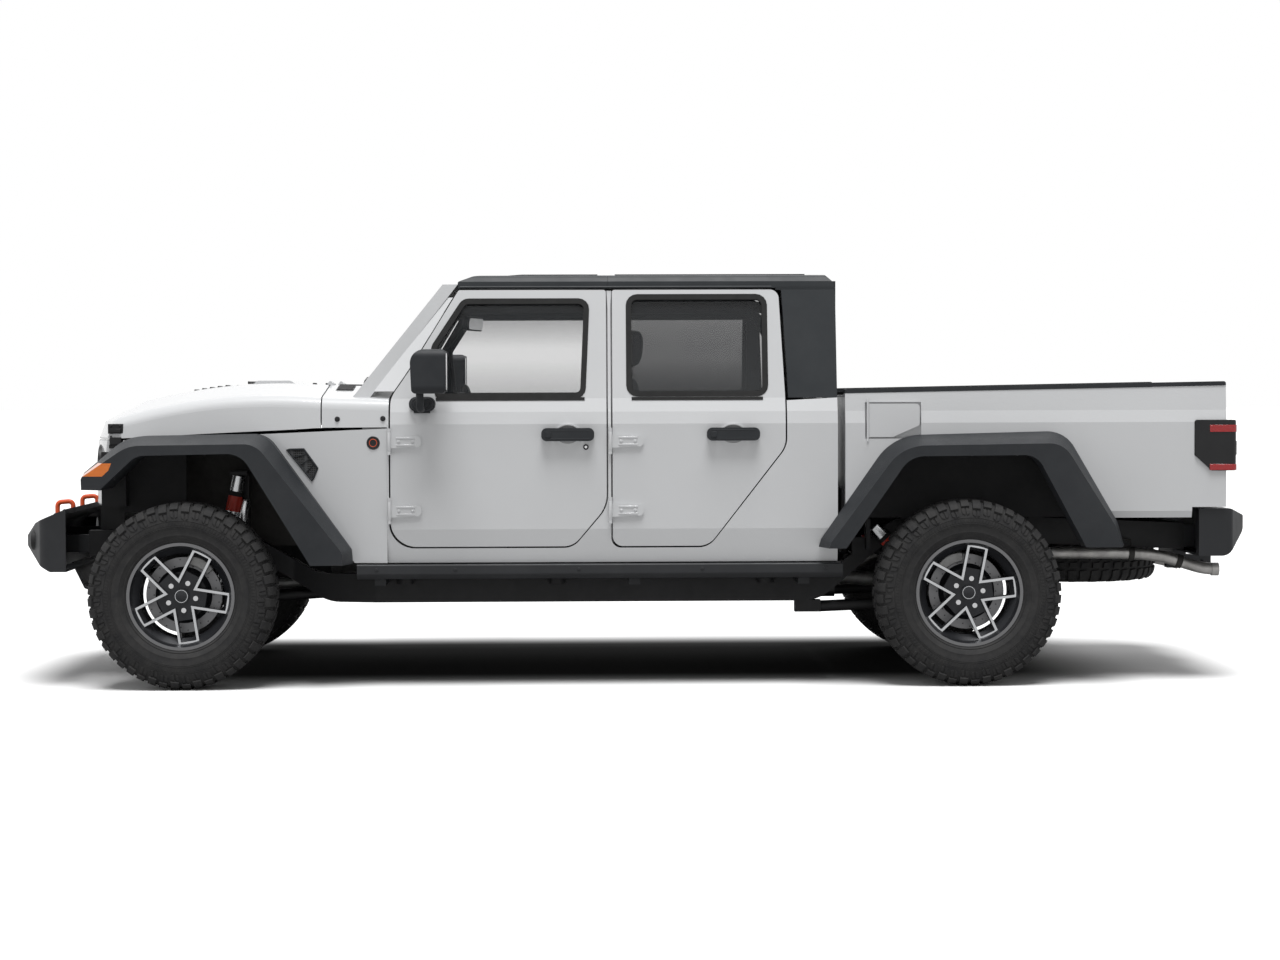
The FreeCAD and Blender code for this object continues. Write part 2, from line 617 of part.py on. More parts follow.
def tunnel_corners(sheet):
    c = cab
    return [(c.tunnelHalf + sheet, c.floorLow - 5), (c.tunnelHalf + sheet, c.tunnelHigh + sheet, 60),
            (-c.tunnelHalf - sheet, c.tunnelHigh + sheet, 60),
            (-c.tunnelHalf - sheet, c.floorLow - 5)]


def cowl_loft(name, inset):
    # The same rounded section as the hood carries on to the doors, widening as it goes
    past = inset * 0.05
    rear = frontDoor.front + body.doorGap - past
    return loft(name, [
        hood_section(name + "_rear", rear, body.half - 2, cab.cowlTop, body.hoodSeam - inset, inset),
        hood_section(name + "_front", body.front + past, nose_half(body.front), hood.rearTop,
                     hood.rearLow - inset, inset)])


def hinge_lugs():
    # Ears above and below each door barrel, joined to the body side by a web in the gap
    lugs = []
    for place, axis_x, web in (
            ("front", frontDoor.front + hinge.ahead, (frontDoor.front + hinge.ahead,
                                                      frontDoor.front + hinge.ahead + 9)),
            ("rear", rearDoor.front + hinge.rearAhead, (rearDoor.front + hinge.rearAhead - 4,
                                                        rearDoor.front + hinge.rearAhead + 4))):
        for level, height in (("upper", hinge.upper), ("lower", hinge.lower)):
            for way, sign in (("top", 1), ("foot", -1)):
                near = height + sign * (hinge.length / 2 + hinge.fit)
                far = near + sign * 14
                span = (near, far) if sign > 0 else (far, near)
                name = f"{place}_{level}_{way}"
                lugs.append(cylinder(name + "_ear", hinge.barrel, "Z", span,
                                     (axis_x, hinge.out)))
                lugs.append(box(name + "_web", web, (body.half - 30, hinge.out), span))
    return lugs


def nose_half(x):
    # Half width of the body side ahead of the doors
    n = nose
    start = frontDoor.front + body.doorGap
    return body.half - 2 - (body.half - 2 - n.halfFront) * (x - start) / (n.frontX - start)


def nose_wall(name):
    # The body side ahead of the doors, which narrows towards the grille
    n = nose
    start = frontDoor.front + body.doorGap
    return prism(name, "XY", [
        (start, body.half - 2), (n.frontX, n.halfFront), (n.frontX, n.halfFront - n.wall),
        (start, body.half - 2 - n.wall)], (body.sillLow, 1340))


def above_seam(name, gap):
    # The room of the hood and of what lies inside the body side, from just below the seam upwards
    n = nose
    start = frontDoor.front
    plan = prism(name + "_plan", "XY", [
        (start, nose_half(start) + 1), (2600, nose_half(2600) + 1), (2600, -nose_half(2600) - 1),
        (start, -nose_half(start) - 1)], (1000, 1500))
    side = prism(name + "_side", "XZ", [
        (start, body.hoodSeam - gap), (n.frontX, n.frontSeam - gap), (2600, n.frontSeam - 8 - gap),
        (2600, 1450), (start, 1450)], (900, -900))
    return common(name, plan, side)


def build_fenders():
    n = nose
    start = frontDoor.front + body.doorGap * 2 + 0.5
    shape = prism("fender_shape", "XZ", [
        (start, body.sillLow), (n.sillRear, body.sillLow), (1600, 1040), (n.frontX, 1040),
        (n.frontX, n.frontSeam - hood.seamGap), (start, body.hoodSeam - hood.seamGap)],
        (wide[1], 0))
    wall = common("fender_wall_side", nose_wall("fender_wall"), shape)
    flare_room = prism("flare_room", "XZ", front_flare_foot(0.4), (wide[1], 0))
    keep("front_fenders", both_sides("front_fenders_pair", cut("fender_left", wall, flare_room)))


# Hood: a hollow loft through rounded cross-sections

def hood_section(name, x, half, top, low, inset):
    h = hood
    corners = [(half - inset, low), (half - 12 - inset, top - h.shoulder - inset, h.round),
               (h.bulge, top - inset, h.round)]
    return outline(name, "YZ", corners + [(-c[0],) + tuple(c[1:]) for c in reversed(corners)],
                   (x, 0, 0))


def loft(name, sections, ruled=False):
    solid = doc.addObject("Part::Loft", name)
    solid.Sections = sections
    solid.Solid = True
    solid.Ruled = ruled
    return solid


# Place, height of the top and height of the lower edge at each section of the hood
hood_stations = [(1400, 1344, 1154), (1740, 1350, 1136), (2100, 1306, 1118), (2290, 1262, 1108),
                 (2540, 1186, 1104)]


def hood_nose(name, inset):
    # The front of the hood, curved in plan and rounded over towards the top
    n = nose
    points = [(n.face, 1000), (n.face, n.frontSeam + 6), (n.brow, n.browZ, 40),
              (n.crest, n.crestZ, 120), (n.back, n.backZ, 200), (n.back - 300, n.rise + n.hollow)]
    profile = [(n.hollow, points[0][1])]
    for x, z, *rounding in points:
        lift = 0 if z is points[0][1] else inset
        profile.append((x - n.turnX - inset, z - lift, *rounding))
    return spun(name, profile + [(n.hollow, n.rise + n.hollow)], n.turnX)


def build_hood():
    h = hood
    outer = loft("hood_outer", [hood_section(f"hood_ring{i}", x, nose_half(x), top, low, 0)
                                for i, (x, top, low) in enumerate(hood_stations)])
    inner = loft("hood_inner", [hood_section(f"hood_core{i}", x - (1 if i == 0 else 0),
                                             nose_half(x), top, low - 1, h.skin)
                                for i, (x, top, low) in enumerate(hood_stations)])
    shell = cut("hood_shell", common("hood_body", outer, hood_nose("hood_nose_outer", 0)),
                common("hood_room", inner, hood_nose("hood_nose_inner", h.skin)))
    scoop = prism("hood_scoop", "XZ", [
        (h.scoopFront, h.scoopTop - 35), (h.scoopFront - 45, h.scoopTop, 30),
        (h.scoopRear + 40, h.scoopTop, 30), (h.scoopRear, h.scoopTop - 30)],
        (h.scoopHalf, -h.scoopHalf))
    barrels = [cylinder(f"hood_barrel{sign}", h.pin, "Y", (h.pinSide * sign - h.pinLong / 2,
                                                           h.pinSide * sign + h.pinLong / 2),
                        (h.pinX, h.pinZ)) for sign in (1, -1)]
    tongues = [box(f"hood_tongue{sign}", (h.pinX, h.pinX + 15),
                   (h.pinSide * sign - h.pinLong / 2, h.pinSide * sign + h.pinLong / 2),
                   (h.pinZ - 16, h.pinZ - 2)) for sign in (1, -1)]
    keep("hood", joined("hood_all", shell, scoop, *barrels, *tongues))


def hood_ears(side):
    # The cowl's half of a hood hinge: an ear at each end of the barrel
    h = hood
    pieces = []
    for end in (1, -1):
        near = h.pinSide * side + (h.pinLong / 2 + h.pinFit) * end
        far = near + h.earLong * end
        span = (near, far) if end > 0 else (far, near)
        name = f"hood_ear{side}{end}"
        pieces.append(cylinder(name, h.pin, "Y", span, (h.pinX, h.pinZ)))
        pieces.append(box(name + "_foot", (h.pinX - 17, h.pinX), span, (h.pinZ - 18, h.pinZ - 2)))
    return pieces


# Grille panel, curved in plan, with a barred opening and two lamp bores

def build_grille():
    g = grille
    rear = g.face - g.depth
    ring = spun("grille_ring", [
        (rear - nose.turnX, g.low), (g.face - nose.turnX, g.low), (g.face - nose.turnX, g.brow),
        (g.top - nose.turnX, g.high, 6), (rear - nose.turnX, g.high)], nose.turnX)
    face = common("grille_band", ring, box("grille_band_room", (nose.frontX, g.face + 5),
                                           (-g.half, g.half), (g.low - 5, g.high + 5)))
    room = (nose.frontX, g.face + 20)
    opening = prism("grille_opening", "YZ", [
        (g.openHalf, g.openLow, 30), (g.openHalf, g.openHigh, 30), (-g.openHalf, g.openHigh, 30),
        (-g.openHalf, g.openLow, 30)], room)
    bores = [cylinder(f"lamp_bore{sign}", g.lamp, "X", room, (g.lampSide * sign, g.lampHeight))
             for sign in (1, -1)]
    frame = cut("grille_frame", face, opening, *bores)
    bars = []
    count = int(g.barCount.value)
    for index in range(count):
        low = g.openLow + (g.openHigh - g.openLow) * ((index + 1) / (count + 1)) - g.bar / 2
        slab = box(f"grille_bar{index}", (rear - 80, g.face - 12), (-g.openHalf - 2, g.openHalf + 2),
                   (low, low + g.bar))
        bars.append(common(f"grille_slat{index}", face, slab))
    core = box("core_support", (g.coreRear, g.coreFront), (-g.coreHalf, g.coreHalf), (660.3, g.low + 1))
    keep("grille_panel", joined("grille_all", frame, core, *bars))
    lamp = cylinder("head_lamp", g.lamp - 0.5, "X", (g.lampRear, g.lampFront),
                    (g.lampSide, g.lampHeight))
    fog_lamp = cylinder("fog_lamp", fog.radius - 0.3, "X", (fog.rear, fog.front),
                        (fog.side, fog.height))
    keep("head_lamps", both_sides("head_lamp_pair", group("lamps_left", lamp, fog_lamp)))


# Flares: a loft from the line on the body to the outer lip, less the wheel opening

def flare(name, foot_corners, lip_corners, opening_corners, inner_y, foot_y, out_y):
    root = prism(name + "_root", "XZ", foot_corners, (foot_y, inner_y))
    slope = loft(name + "_slope", [outline(name + "_foot", "XZ", foot_corners, (0, foot_y, 0)),
                                   outline(name + "_lip", "XZ", lip_corners, (0, out_y, 0))], True)
    whole = joined(name + "_whole", root, slope)
    opening = prism(name + "_opening", "XZ", opening_corners, (out_y + 5, inner_y - 5))
    return cut(name, whole, opening)


def front_flare_foot(grow=0):
    a = arch
    return [(1258 - grow, a.low - 1), (1262 - grow, 612, 30), (1640, a.top + grow, 120),
            (2250, a.top - 10 + grow, 190), (a.front + grow, 955, 20), (a.front - 2 + grow, a.tipLow),
            (a.legTop, a.tipLow - 20), (a.legFoot, a.low)]


def signal_corners(grow):
    # The amber lens that wraps round the front corner of the flare
    tip = arch.front
    return [(tip + 10 + grow, 946 - grow), (tip + 10 + grow, 1004 + grow), (2297 - grow, 1004 + grow),
            (2310 - grow, 972 - grow, 10), (2338 - grow, 946 - grow)]


def build_flares():
    a = arch
    foot = front_flare_foot()
    lip = [(1290, a.low), (1292, 606, 30), (1668, 1086, 110), (2225, 1080, 170),
           (a.front - 16, 940, 20), (a.front - 18, a.tipLow), (a.legTop, a.tipLow - 20), (a.legFoot, a.low)]
    hole = [(1415, a.low - 40), (1437, 559), (1733, 1044, 110), (2190, 1036, 90),
            (2345, a.tipLow + 4, 20), (2345, a.tipLow - 60), (2100, 500)]
    solid = flare("front_flare", foot, lip, hole, a.inner, 800, a.out)
    front = cut("front_flare_left", solid, above_seam("flare_seam", hood.seamGap / 2),
                prism("signal_room", "XZ", signal_corners(0), (a.out + 5, a.out - a.signalDeep)))
    keep("front_flares", both_sides("front_flare_pair", front))
    lens = common("turn_lens", doc.getObject("front_flare_slope"), prism(
        "turn_lens_shape", "XZ", signal_corners(-0.3), (a.out + 5, a.out - a.signalDeep + 0.3)))
    keep("turn_signals", both_sides("turn_lens_pair", lens))
    r = rearArch
    foot = [(r.front, r.low), (-832, 652, 40), (-1155, 1112, 240), (-1922, 1130, 140),
            (-2160, 722, 60), (r.rear, r.low)]
    lip = [(r.front - 34, r.low), (-866, 645, 40), (-1181, 1068, 200), (-1892, 1078, 110),
           (-2122, 715, 60), (r.rear + 34, r.low)]
    hole = [(-928, r.low - 5), (-1215, 1022, 120), (-1775, 1026, 90), (-1998, r.low - 5)]
    rear = flare("rear_flare", foot, lip, hole, body.half + 0.3, 812, a.out)
    keep("rear_flares", both_sides("rear_flare_pair", rear))


# Bed, tailgate and fuel flap

def build_bed():
    b = bed
    wall = [(b.inside + 14, b.low), (body.half - 10, b.low), (body.half, b.low + 30),
            (body.half, body.belt), (body.halfCrease, body.crease), (body.halfCrease - 8, 1345),
            (b.inside, 1345), (b.inside, b.floor)]
    trough = prism("bed_trough", "YZ", mirrored_corners(wall)
                   + [(-b.inside - 14, b.floor - b.floorThick), (b.inside + 14,
                                                                 b.floor - b.floorThick)],
                   (b.rear, b.front))
    head = box("bed_head", (b.front - b.headWall, b.front), (-b.inside - 1, b.inside + 1),
               (b.floor - b.floorThick, b.topFront - 10))
    house = box("bed_house", (b.houseRear, b.houseFront), (b.houseHalf, b.inside + 2),
                (b.floor - b.floorThick, b.houseTop))
    sills = [box(f"bed_sill{index}", (x - b.sillHalf, x + b.sillHalf), (-b.inside, b.inside),
                 (rail.rearHigh + 0.3, b.floor - b.floorThick + 1))
             for index, x in enumerate((b.sillFront, b.sillMiddle, b.sillRear))]
    top_cut = prism("bed_top_cut", "XZ", [(b.front + 10, b.topFront), (b.front + 10, 1400),
                                          (b.rear - 10, 1400), (b.rear - 10, b.topRear)],
                    (1000, -1000))
    low_cut = box("bed_low_cut", (b.rear - 5, rearBumper.front + 35), (-1000, 1000),
                  (b.low - 5, rearBumper.high + 8))
    gate_room = box("gate_room", (b.rear - 5, gate.axisX + gate.swing + 6),
                    (-b.inside + 1, b.inside - 1), (b.low - 5, 1400))
    hole = [(-900, b.low - 50), (-1190, 1030, 120), (-1800, 1034, 90), (-2040, b.low - 50)]
    arch_left = prism("bed_arch", "XZ", hole, (1000, b.houseHalf + b.sheet))
    whole = joined("bed_whole", trough, head, house, mirror("bed_house_right", house), *sills)
    f = flap
    flap_room = box("flap_room", (f.rear - f.gap, f.front + f.barrel * 2 + f.gap + 1),
                    (body.half - f.room, body.half + 60), (f.low - f.gap, f.high + f.gap))
    lamp_room = prism("tail_lamp_room", "XZ", tail_lamp_corners(tailLamp.fit), (900, tailLamp.inner))
    pin_hole = cylinder("gate_pin_hole", gate.pin + gate.fit, "Y",
                        (b.inside - 5, b.inside + gate.pinLong + 1), (gate.axisX, gate.axisZ))
    solid = cut("bed_box_cut", whole, top_cut, low_cut, gate_room, arch_left,
                mirror("bed_arch_right", arch_left), flap_room, lamp_room,
                mirror("tail_lamp_room_right", lamp_room), pin_hole,
                mirror("gate_pin_hole_right", pin_hole))
    ears = []
    flap_x = f.front + f.barrel + 1
    for way, (low, high) in (("top", (f.high + 0.4, f.high + f.gap + 12)),
                             ("foot", (f.low - f.gap - 12, f.low - 0.4))):
        ears.append(cylinder(f"flap_{way}_ear", f.barrel, "Z", (low, high), (flap_x, f.axisY)))
    keep("bed_box", joined("bed_box_all", solid, *ears))
    t = tailLamp
    plan = prism("tail_lamp_plan", "XY", [
        (t.front, body.half + t.proud, 12), (t.rear, body.half + t.proud, 24),
        (t.rear, t.inner + t.fit), (t.front, t.inner + t.fit)], (t.low - 5, t.high + 5))
    lamp = common("tail_lamp", plan, prism("tail_lamp_side", "XZ", tail_lamp_corners(0), (900, 700)))
    keep("tail_lamps", both_sides("tail_lamp_pair", lamp))
    rail_cap = prism("cap_shape", "XZ", [
        (b.front, b.topFront + 0.3), (b.front, b.topFront + cap.thick, 6),
        (b.rear, b.topRear + cap.thick, 10), (b.rear, b.topRear + 0.3)], (cap.outer, cap.inner))
    keep("bed_caps", both_sides("bed_cap_pair", rail_cap))
    g = gate
    panel = box("gate_panel", (b.rear, b.rear + g.thick), (-b.inside + g.gap, b.inside - g.gap),
                (g.low, g.top))
    pin = cylinder("gate_pin", g.pin, "Y", (b.inside - g.gap - 5, b.inside + g.pinLong),
                   (g.axisX, g.axisZ))
    keep("tailgate", joined("tailgate_all", panel, pin, mirror("gate_pin_right", pin)))
    lid = prism("fuel_flap", "XZ", [
        (f.front, f.low), (f.front, f.high), (f.rear, f.high, f.corner),
        (f.rear, f.low + f.notch, f.corner), (f.rear + f.notchLong, f.low, f.corner)],
        (body.half + f.proud, body.half - f.thick))
    roll = cylinder("flap_barrel", f.barrel, "Z", (f.low, f.high), (flap_x, f.axisY))
    tongue = box("flap_tongue", (f.front - 1, flap_x), (f.axisY - f.barrel + 0.6, f.axisY - 1),
                 (f.low, f.high))
    keep("fuel_door", joined("fuel_flap_all", lid, roll, tongue))



def tail_lamp_corners(grow):
    # The lamp seen from the side, with its lower front corner cut off
    t = tailLamp
    return [(t.front + grow, t.low + t.notch), (t.front + grow, t.high + grow, 12),
            (t.rear - grow, t.high + grow, 12), (t.rear - grow, t.low - grow, 12),
            (t.front - t.notchLong, t.low - grow)]


# Hard top and windscreen

def build_top(skin):
    r = roof
    outer = [(r.edge, r.low), (r.edge - 4, r.side - 20), (r.shoulder, r.side + 8, r.shoulderRound)]
    inner = [(r.shoulder - 20, r.side - 26), (r.edge - r.skin, r.low)]
    ring = outer + [(0, r.crown, r.crownRound)] + [(-c[0],) + tuple(c[1:]) for c in reversed(outer)]
    core = [(-c[0],) + tuple(c[1:]) for c in reversed(inner)] + [(0, r.crown - r.skin)] + inner
    section = prism("roof_section", "YZ", ring + core, (r.rear, r.front))
    front_shape = prism("roof_front_shape", "XZ", [
        (r.split + r.gap / 2, r.low - 5), (r.front, r.low - 5), (r.front, 1806, 12),
        (r.front - 70, 1832, 60), (r.split + r.gap / 2, 1880)], (-800, 800))
    keep("roof_front_panels", common("roof_front", section, front_shape))
    rear_shape = prism("roof_rear_shape", "XZ", [
        (r.split - r.gap / 2, r.low - 5), (r.split - r.gap / 2, 1880), (r.rear + 60, 1880),
        (r.rear + 60, 1852, 30), (r.rear + 4, 1800), (r.rear, r.low - 5)], (-800, 800))
    top = common("roof_rear_top", section, rear_shape)
    quarter_low = body.glassLow + 0.3
    quarter = common("roof_quarter", skin, prism("roof_quarter_shape", "XZ", [
        (rearDoor.rear - 14, quarter_low), (-670 - 14, 1400),
        (rearDoor.topRear - 14, body.cantRail),
        (body.rear + 2, body.cantRail), (body.rear - 20, quarter_low)], (wide[1], 0)))
    back = box("roof_back", (r.rear - 6, r.rear + 36), (-650, 650), (quarter_low, r.low + 30))
    lift = box("roof_back_top", (r.rear, -640), (-672, 672), (body.cantRail - 2, r.low + 4))
    opening = prism("back_window", "YZ", [(520, 1335, 50), (480, 1715, 50), (-480, 1715, 50),
                                          (-520, 1335, 50)], (r.rear - 20, r.rear + 60))
    hollow = box("roof_hollow", (r.rear + 36, -600), (-622, 622), (1200, r.low + 10))
    shell = joined("roof_rear_solid", top, quarter, mirror("roof_quarter_right", quarter), back,
                   cut("roof_back_ledge", lift, hollow))
    keep("roof_rear_shell", cut("roof_rear_done", shell, opening))
    build_screen(opening)


def along_screen(low_x, high_x, height):
    # The X on a sloping line of the screen, at the height given
    s = screen
    return low_x + (high_x - low_x) * (height - s.low) / (s.high - s.low)


def build_screen(back_opening):
    s = screen
    front_foot = along_screen(s.baseFront, s.topFront, s.foot)
    rear_foot = along_screen(s.baseRear, s.topRear, s.foot)
    slab = prism("screen_slab", "XZ", [(front_foot, s.foot), (s.topFront, s.high),
                                       (s.topRear, s.high), (rear_foot, s.foot)], (-800, 800))
    taper = prism("screen_taper", "YZ", [(s.halfLow + 6, s.foot), (s.halfHigh, s.high),
                                         (-s.halfHigh, s.high), (-s.halfLow - 6, s.foot)],
                  (700, 1300))
    cowl_body = doc.getObject("cowl_outer")
    hole = prism("screen_hole", "YZ", [
        (s.halfLow - s.post, s.openLow, s.corner), (s.halfHigh - s.post, s.openHigh, s.corner),
        (-s.halfHigh + s.post, s.openHigh, s.corner), (-s.halfLow + s.post, s.openLow, s.corner)],
        (700, 1300))
    frame = cut("screen_frame", common("screen_body", slab, taper), hole, cowl_body)
    keep("windshield_frame", frame)
    sheet_of = prism("screen_glass_slab", "XZ", [
        (s.baseFront - 20, s.low), (s.topFront - 20, s.high), (s.topFront - 26, s.high),
        (s.baseFront - 26, s.low)], (-800, 800))
    front = common("screen_glass", sheet_of, hole)
    back = common("back_glass", box("back_glass_slab", (roof.rear + 10, roof.rear + 15),
                                    (-600, 600), (1300, 1750)), back_opening)
    keep("fixed_glass", group("fixed_glass_pair", front, back))


# Frame, bumpers and rock rails

def build_frame():
    r = rail
    plan = prism("rail_plan", "XY", [
        (r.front, r.noseInner), (r.front, r.noseOuter), (r.jogFront, r.noseOuter, 60),
        (r.jogRear, r.outer, 60), (r.rear, r.outer), (r.rear, r.inner), (r.jogRear, r.inner, 60),
        (r.jogFront, r.noseInner, 60)], (300, 800))
    side = prism("rail_side", "XZ", [
        (r.front, r.axleLow), (1750, r.axleLow, 150), (1400, r.midLow, 200), (-850, r.midLow, 200),
        (-1150, r.rearLow, 150), (-1800, r.rearLow, 200), (r.rear, r.axleLow + 20),
        (r.rear, r.axleHigh + 20), (-1800, r.rearHigh, 200), (-1200, r.rearHigh, 150),
        (-900, r.midHigh, 200), (1450, r.midHigh, 200), (1800, r.axleHigh, 150),
        (r.front, r.axleHigh)], (600, 300))
    left = common("rail_left", plan, side)
    pieces = [left, mirror("rail_right", left)]
    for index, (x, wide_x, half, low, high) in enumerate((
            (2380, 60, r.noseInner, 590, 660), (1240, 60, 380, 345, 410),
            (700, 60, r.inner, 350, 429.7), (-230, 60, r.inner, 345, 424),
            (-1000, 60, r.inner, 480, 560), (-1600, 60, r.inner, 650, 720),
            (spare.centreX, 80, r.inner, 705, 728), (r.rear + 12.5, 25, r.inner, 600, 680))):
        pieces.append(box(f"cross{index}", (x - wide_x / 2, x + wide_x / 2),
                          (-half - 2, half + 2), (low, high)))
    for piece in frame_brackets():
        pieces += [piece, mirror(piece.Name + "_right", piece)]
    s = steer
    box_x = wheel.frontAxle + s.boxAhead
    pieces.append(box("steering_box", (box_x - 45, box_x + 45), (s.boxSide - 30, r.noseInner + 2),
                      (530, 655)))
    pieces.append(cylinder("sector_shaft", 18, "Z", (
        s.linkHeight + s.eyeHalf + s.pitmanThick + s.seat * 2, 540), (box_x, s.boxSide)))
    pieces.append(cylinder("spare_carrier", 34, "Z", (spare.height + 20.3, 710),
                           (spare.centreX, 0)))
    keep("ladder_frame", joined("frame_all", *pieces))
    guard = prism("rock_rail", "YZ", [(720, 486, 8), (800, 478, 12), (822, 500, 12),
                                      (818, 545, 8), (720, 545, 8)], (-928, 1237))
    legs = [box(f"rock_leg{index}", (x - 25, x + 25), (r.outer + 0.3, 725), (445, 495))
            for index, x in enumerate((1140, 0, -760))]
    keep("rock_rails", both_sides("rock_rail_pair", joined("rock_rail_left", guard, *legs)))


def frame_brackets():
    # The left-hand brackets: body mounts, link and shock anchors, spring seats and engine mounts
    r = rail
    found = []
    for index, x in enumerate((1040, 350, -600)):
        found.append(cylinder(f"body_mount{index}", 38, "Z", (r.midHigh - 40, body.sillLow), (x, 560)))
        found.append(box(f"mount_arm{index}", (x - 35, x + 35), (r.outer - 5, 575), (440, 470)))
    front = wheel.frontAxle
    found.append(box("front_link_anchor", (1265, 1318.3), (275, 325), (345, 430)))
    found.append(box("rear_link_anchor", (-858.5, -740), (430, 490), (298, 352)))
    found.append(box("upper_link_anchor", (-996.5, -972), (305, 355), (555, 620)))
    found.append(box("shock_tower", (1760, 1840), (r.noseOuter - 4, 430), (600, 952)))
    found.append(box("shock_tower_top", (1760, 1840), (r.noseOuter, 505), (936.3, 952)))
    found.append(box("rear_shock_anchor", (-1078, -1060), (r.outer - 4, 575), (590, 730)))
    found.append(box("rear_shock_arm", (-1080, -1000), (r.outer - 4, 510), (560, 640)))
    found.append(box("front_spring_seat", (front - 66, front + 66), (r.noseInner, 466),
                     (r.axleLow, r.axleLow + 12)))
    found.append(box("engine_mount", (1850, 1930), (290.3, r.noseInner + 4), (600, 650)))
    return found


def build_bumpers():
    f = frontBumper
    plan = prism("bumper_plan", "XY", [
        (f.rear, f.half), (f.cornerX, f.half, 40), (f.front, f.centreHalf, 60),
        (f.front, -f.centreHalf, 60), (f.cornerX, -f.half, 40), (f.rear, -f.half)], (480, 820))
    shape = prism("bumper_shape", "XZ", [
        (f.rear, f.low), (f.lowFront, f.low, 20), (f.front, f.tipLow, 15), (f.front, f.tipHigh, 15),
        (f.topFront, f.topFrontZ, 20), (f.rear, f.top)], (-900, 900))
    beam = common("bumper_beam", plan, shape)
    hollow_plan = prism("bumper_hollow_plan", "XY", [
        (f.rear - 5, f.half - f.wall), (f.cornerX - f.wall, f.half - f.wall),
        (f.front - f.wall * 2, f.centreHalf), (f.front - f.wall * 2, -f.centreHalf),
        (f.cornerX - f.wall, -f.half + f.wall), (f.rear - 5, -f.half + f.wall)], (480, 820))
    hollow_shape = prism("bumper_hollow_shape", "XZ", [
        (f.rear - 5, f.low + f.wall), (f.lowFront - 5, f.low + f.wall),
        (f.front - f.wall * 3, f.tipLow + f.wall), (f.front - f.wall * 3, f.tipHigh - f.wall),
        (f.topFront - f.wall, f.topFrontZ - f.wall * 2), (f.rear - 5, f.top - f.wall * 2)],
        (-900, 900))
    fog_bores = [cylinder(f"fog_bore{sign}", fog.radius, "X", (fog.rear - 20, f.front + 20),
                          (fog.side * sign, fog.height)) for sign in (1, -1)]
    shell = cut("bumper_shell", beam, common("bumper_hollow", hollow_plan, hollow_shape), *fog_bores)
    skid = prism("skid_plate", "XZ", [(2595, 530), (2535, 405, 20), (2440, 400), (2440, 408),
                                      (2530, 413, 15), (2583, 530)], (-330, 330))
    brace = box("bumper_brace", (rail.front + 0.3, f.rear + 20), (330, 400), (580, 660))
    rib = common("bumper_rib", beam, box("bumper_rib_room", (f.rear, f.front), (355, 375), (580, 660)))
    keep("front_bumper", joined("front_bumper_all", shell, skid, brace, rib,
                                mirror("bumper_brace_right", brace),
                                mirror("bumper_rib_right", rib)))
    loop = bar("tow_loop", 11, [(2590, 300, 740), (2590, 300, 812), (2662, 300, 806),
                                (2662, 300, 715)], 20)
    keep("tow_hooks", both_sides("tow_hook_pair", cut("tow_hook", loop, beam)))
    b = rearBumper
    plan = prism("step_plan", "XY", [
        (b.front, b.half), (b.rear + 90, b.half, 30), (b.rear, b.corner, 60),
        (b.rear, -b.corner, 60), (b.rear + 90, -b.half, 30), (b.front, -b.half)], (500, 800))
    shape = prism("step_shape", "XZ", [(b.front, b.low), (b.front, b.high), (b.rear + 95, b.high, 30),
                                       (b.rear, b.high - 38, 20), (b.rear, b.low + 112, 70),
                                       (b.rear + 110, b.low, 60)], (-900, 900))
    beam = common("step_beam", plan, shape)
    hollow = box("step_hollow", (b.front - 50, b.front + 10), (-b.half + 60, b.half - 60),
                 (b.low + b.wall, b.high - b.wall))
    c = receiver
    tube_half = c.inside / 2 + c.wall
    tube = box("receiver_tube", (c.rear, c.front), (-tube_half, tube_half),
               (c.height - tube_half, c.height + tube_half))
    bore = box("receiver_bore", (c.rear - 5, c.front + 5), (-c.inside / 2, c.inside / 2),
               (c.height - c.inside / 2, c.height + c.inside / 2))
    pin = cylinder("receiver_pin", c.pin / 2, "Y", (-60, 60), (c.pinX, c.height))
    brace = box("step_brace", (b.front - 60, b.front), (430, 490), (590, 690))
    web = box("receiver_web", (-2620, c.front), (-160, 160), (c.height + tube_half - 2, b.low + 20))
    keep("rear_bumper", joined("rear_bumper_all", cut("step_shell", beam, hollow), brace,
                               mirror("step_brace_right", brace),
                               cut("receiver_done", joined("receiver_body", tube, web), bore, pin)))


# Axles, suspension and steering

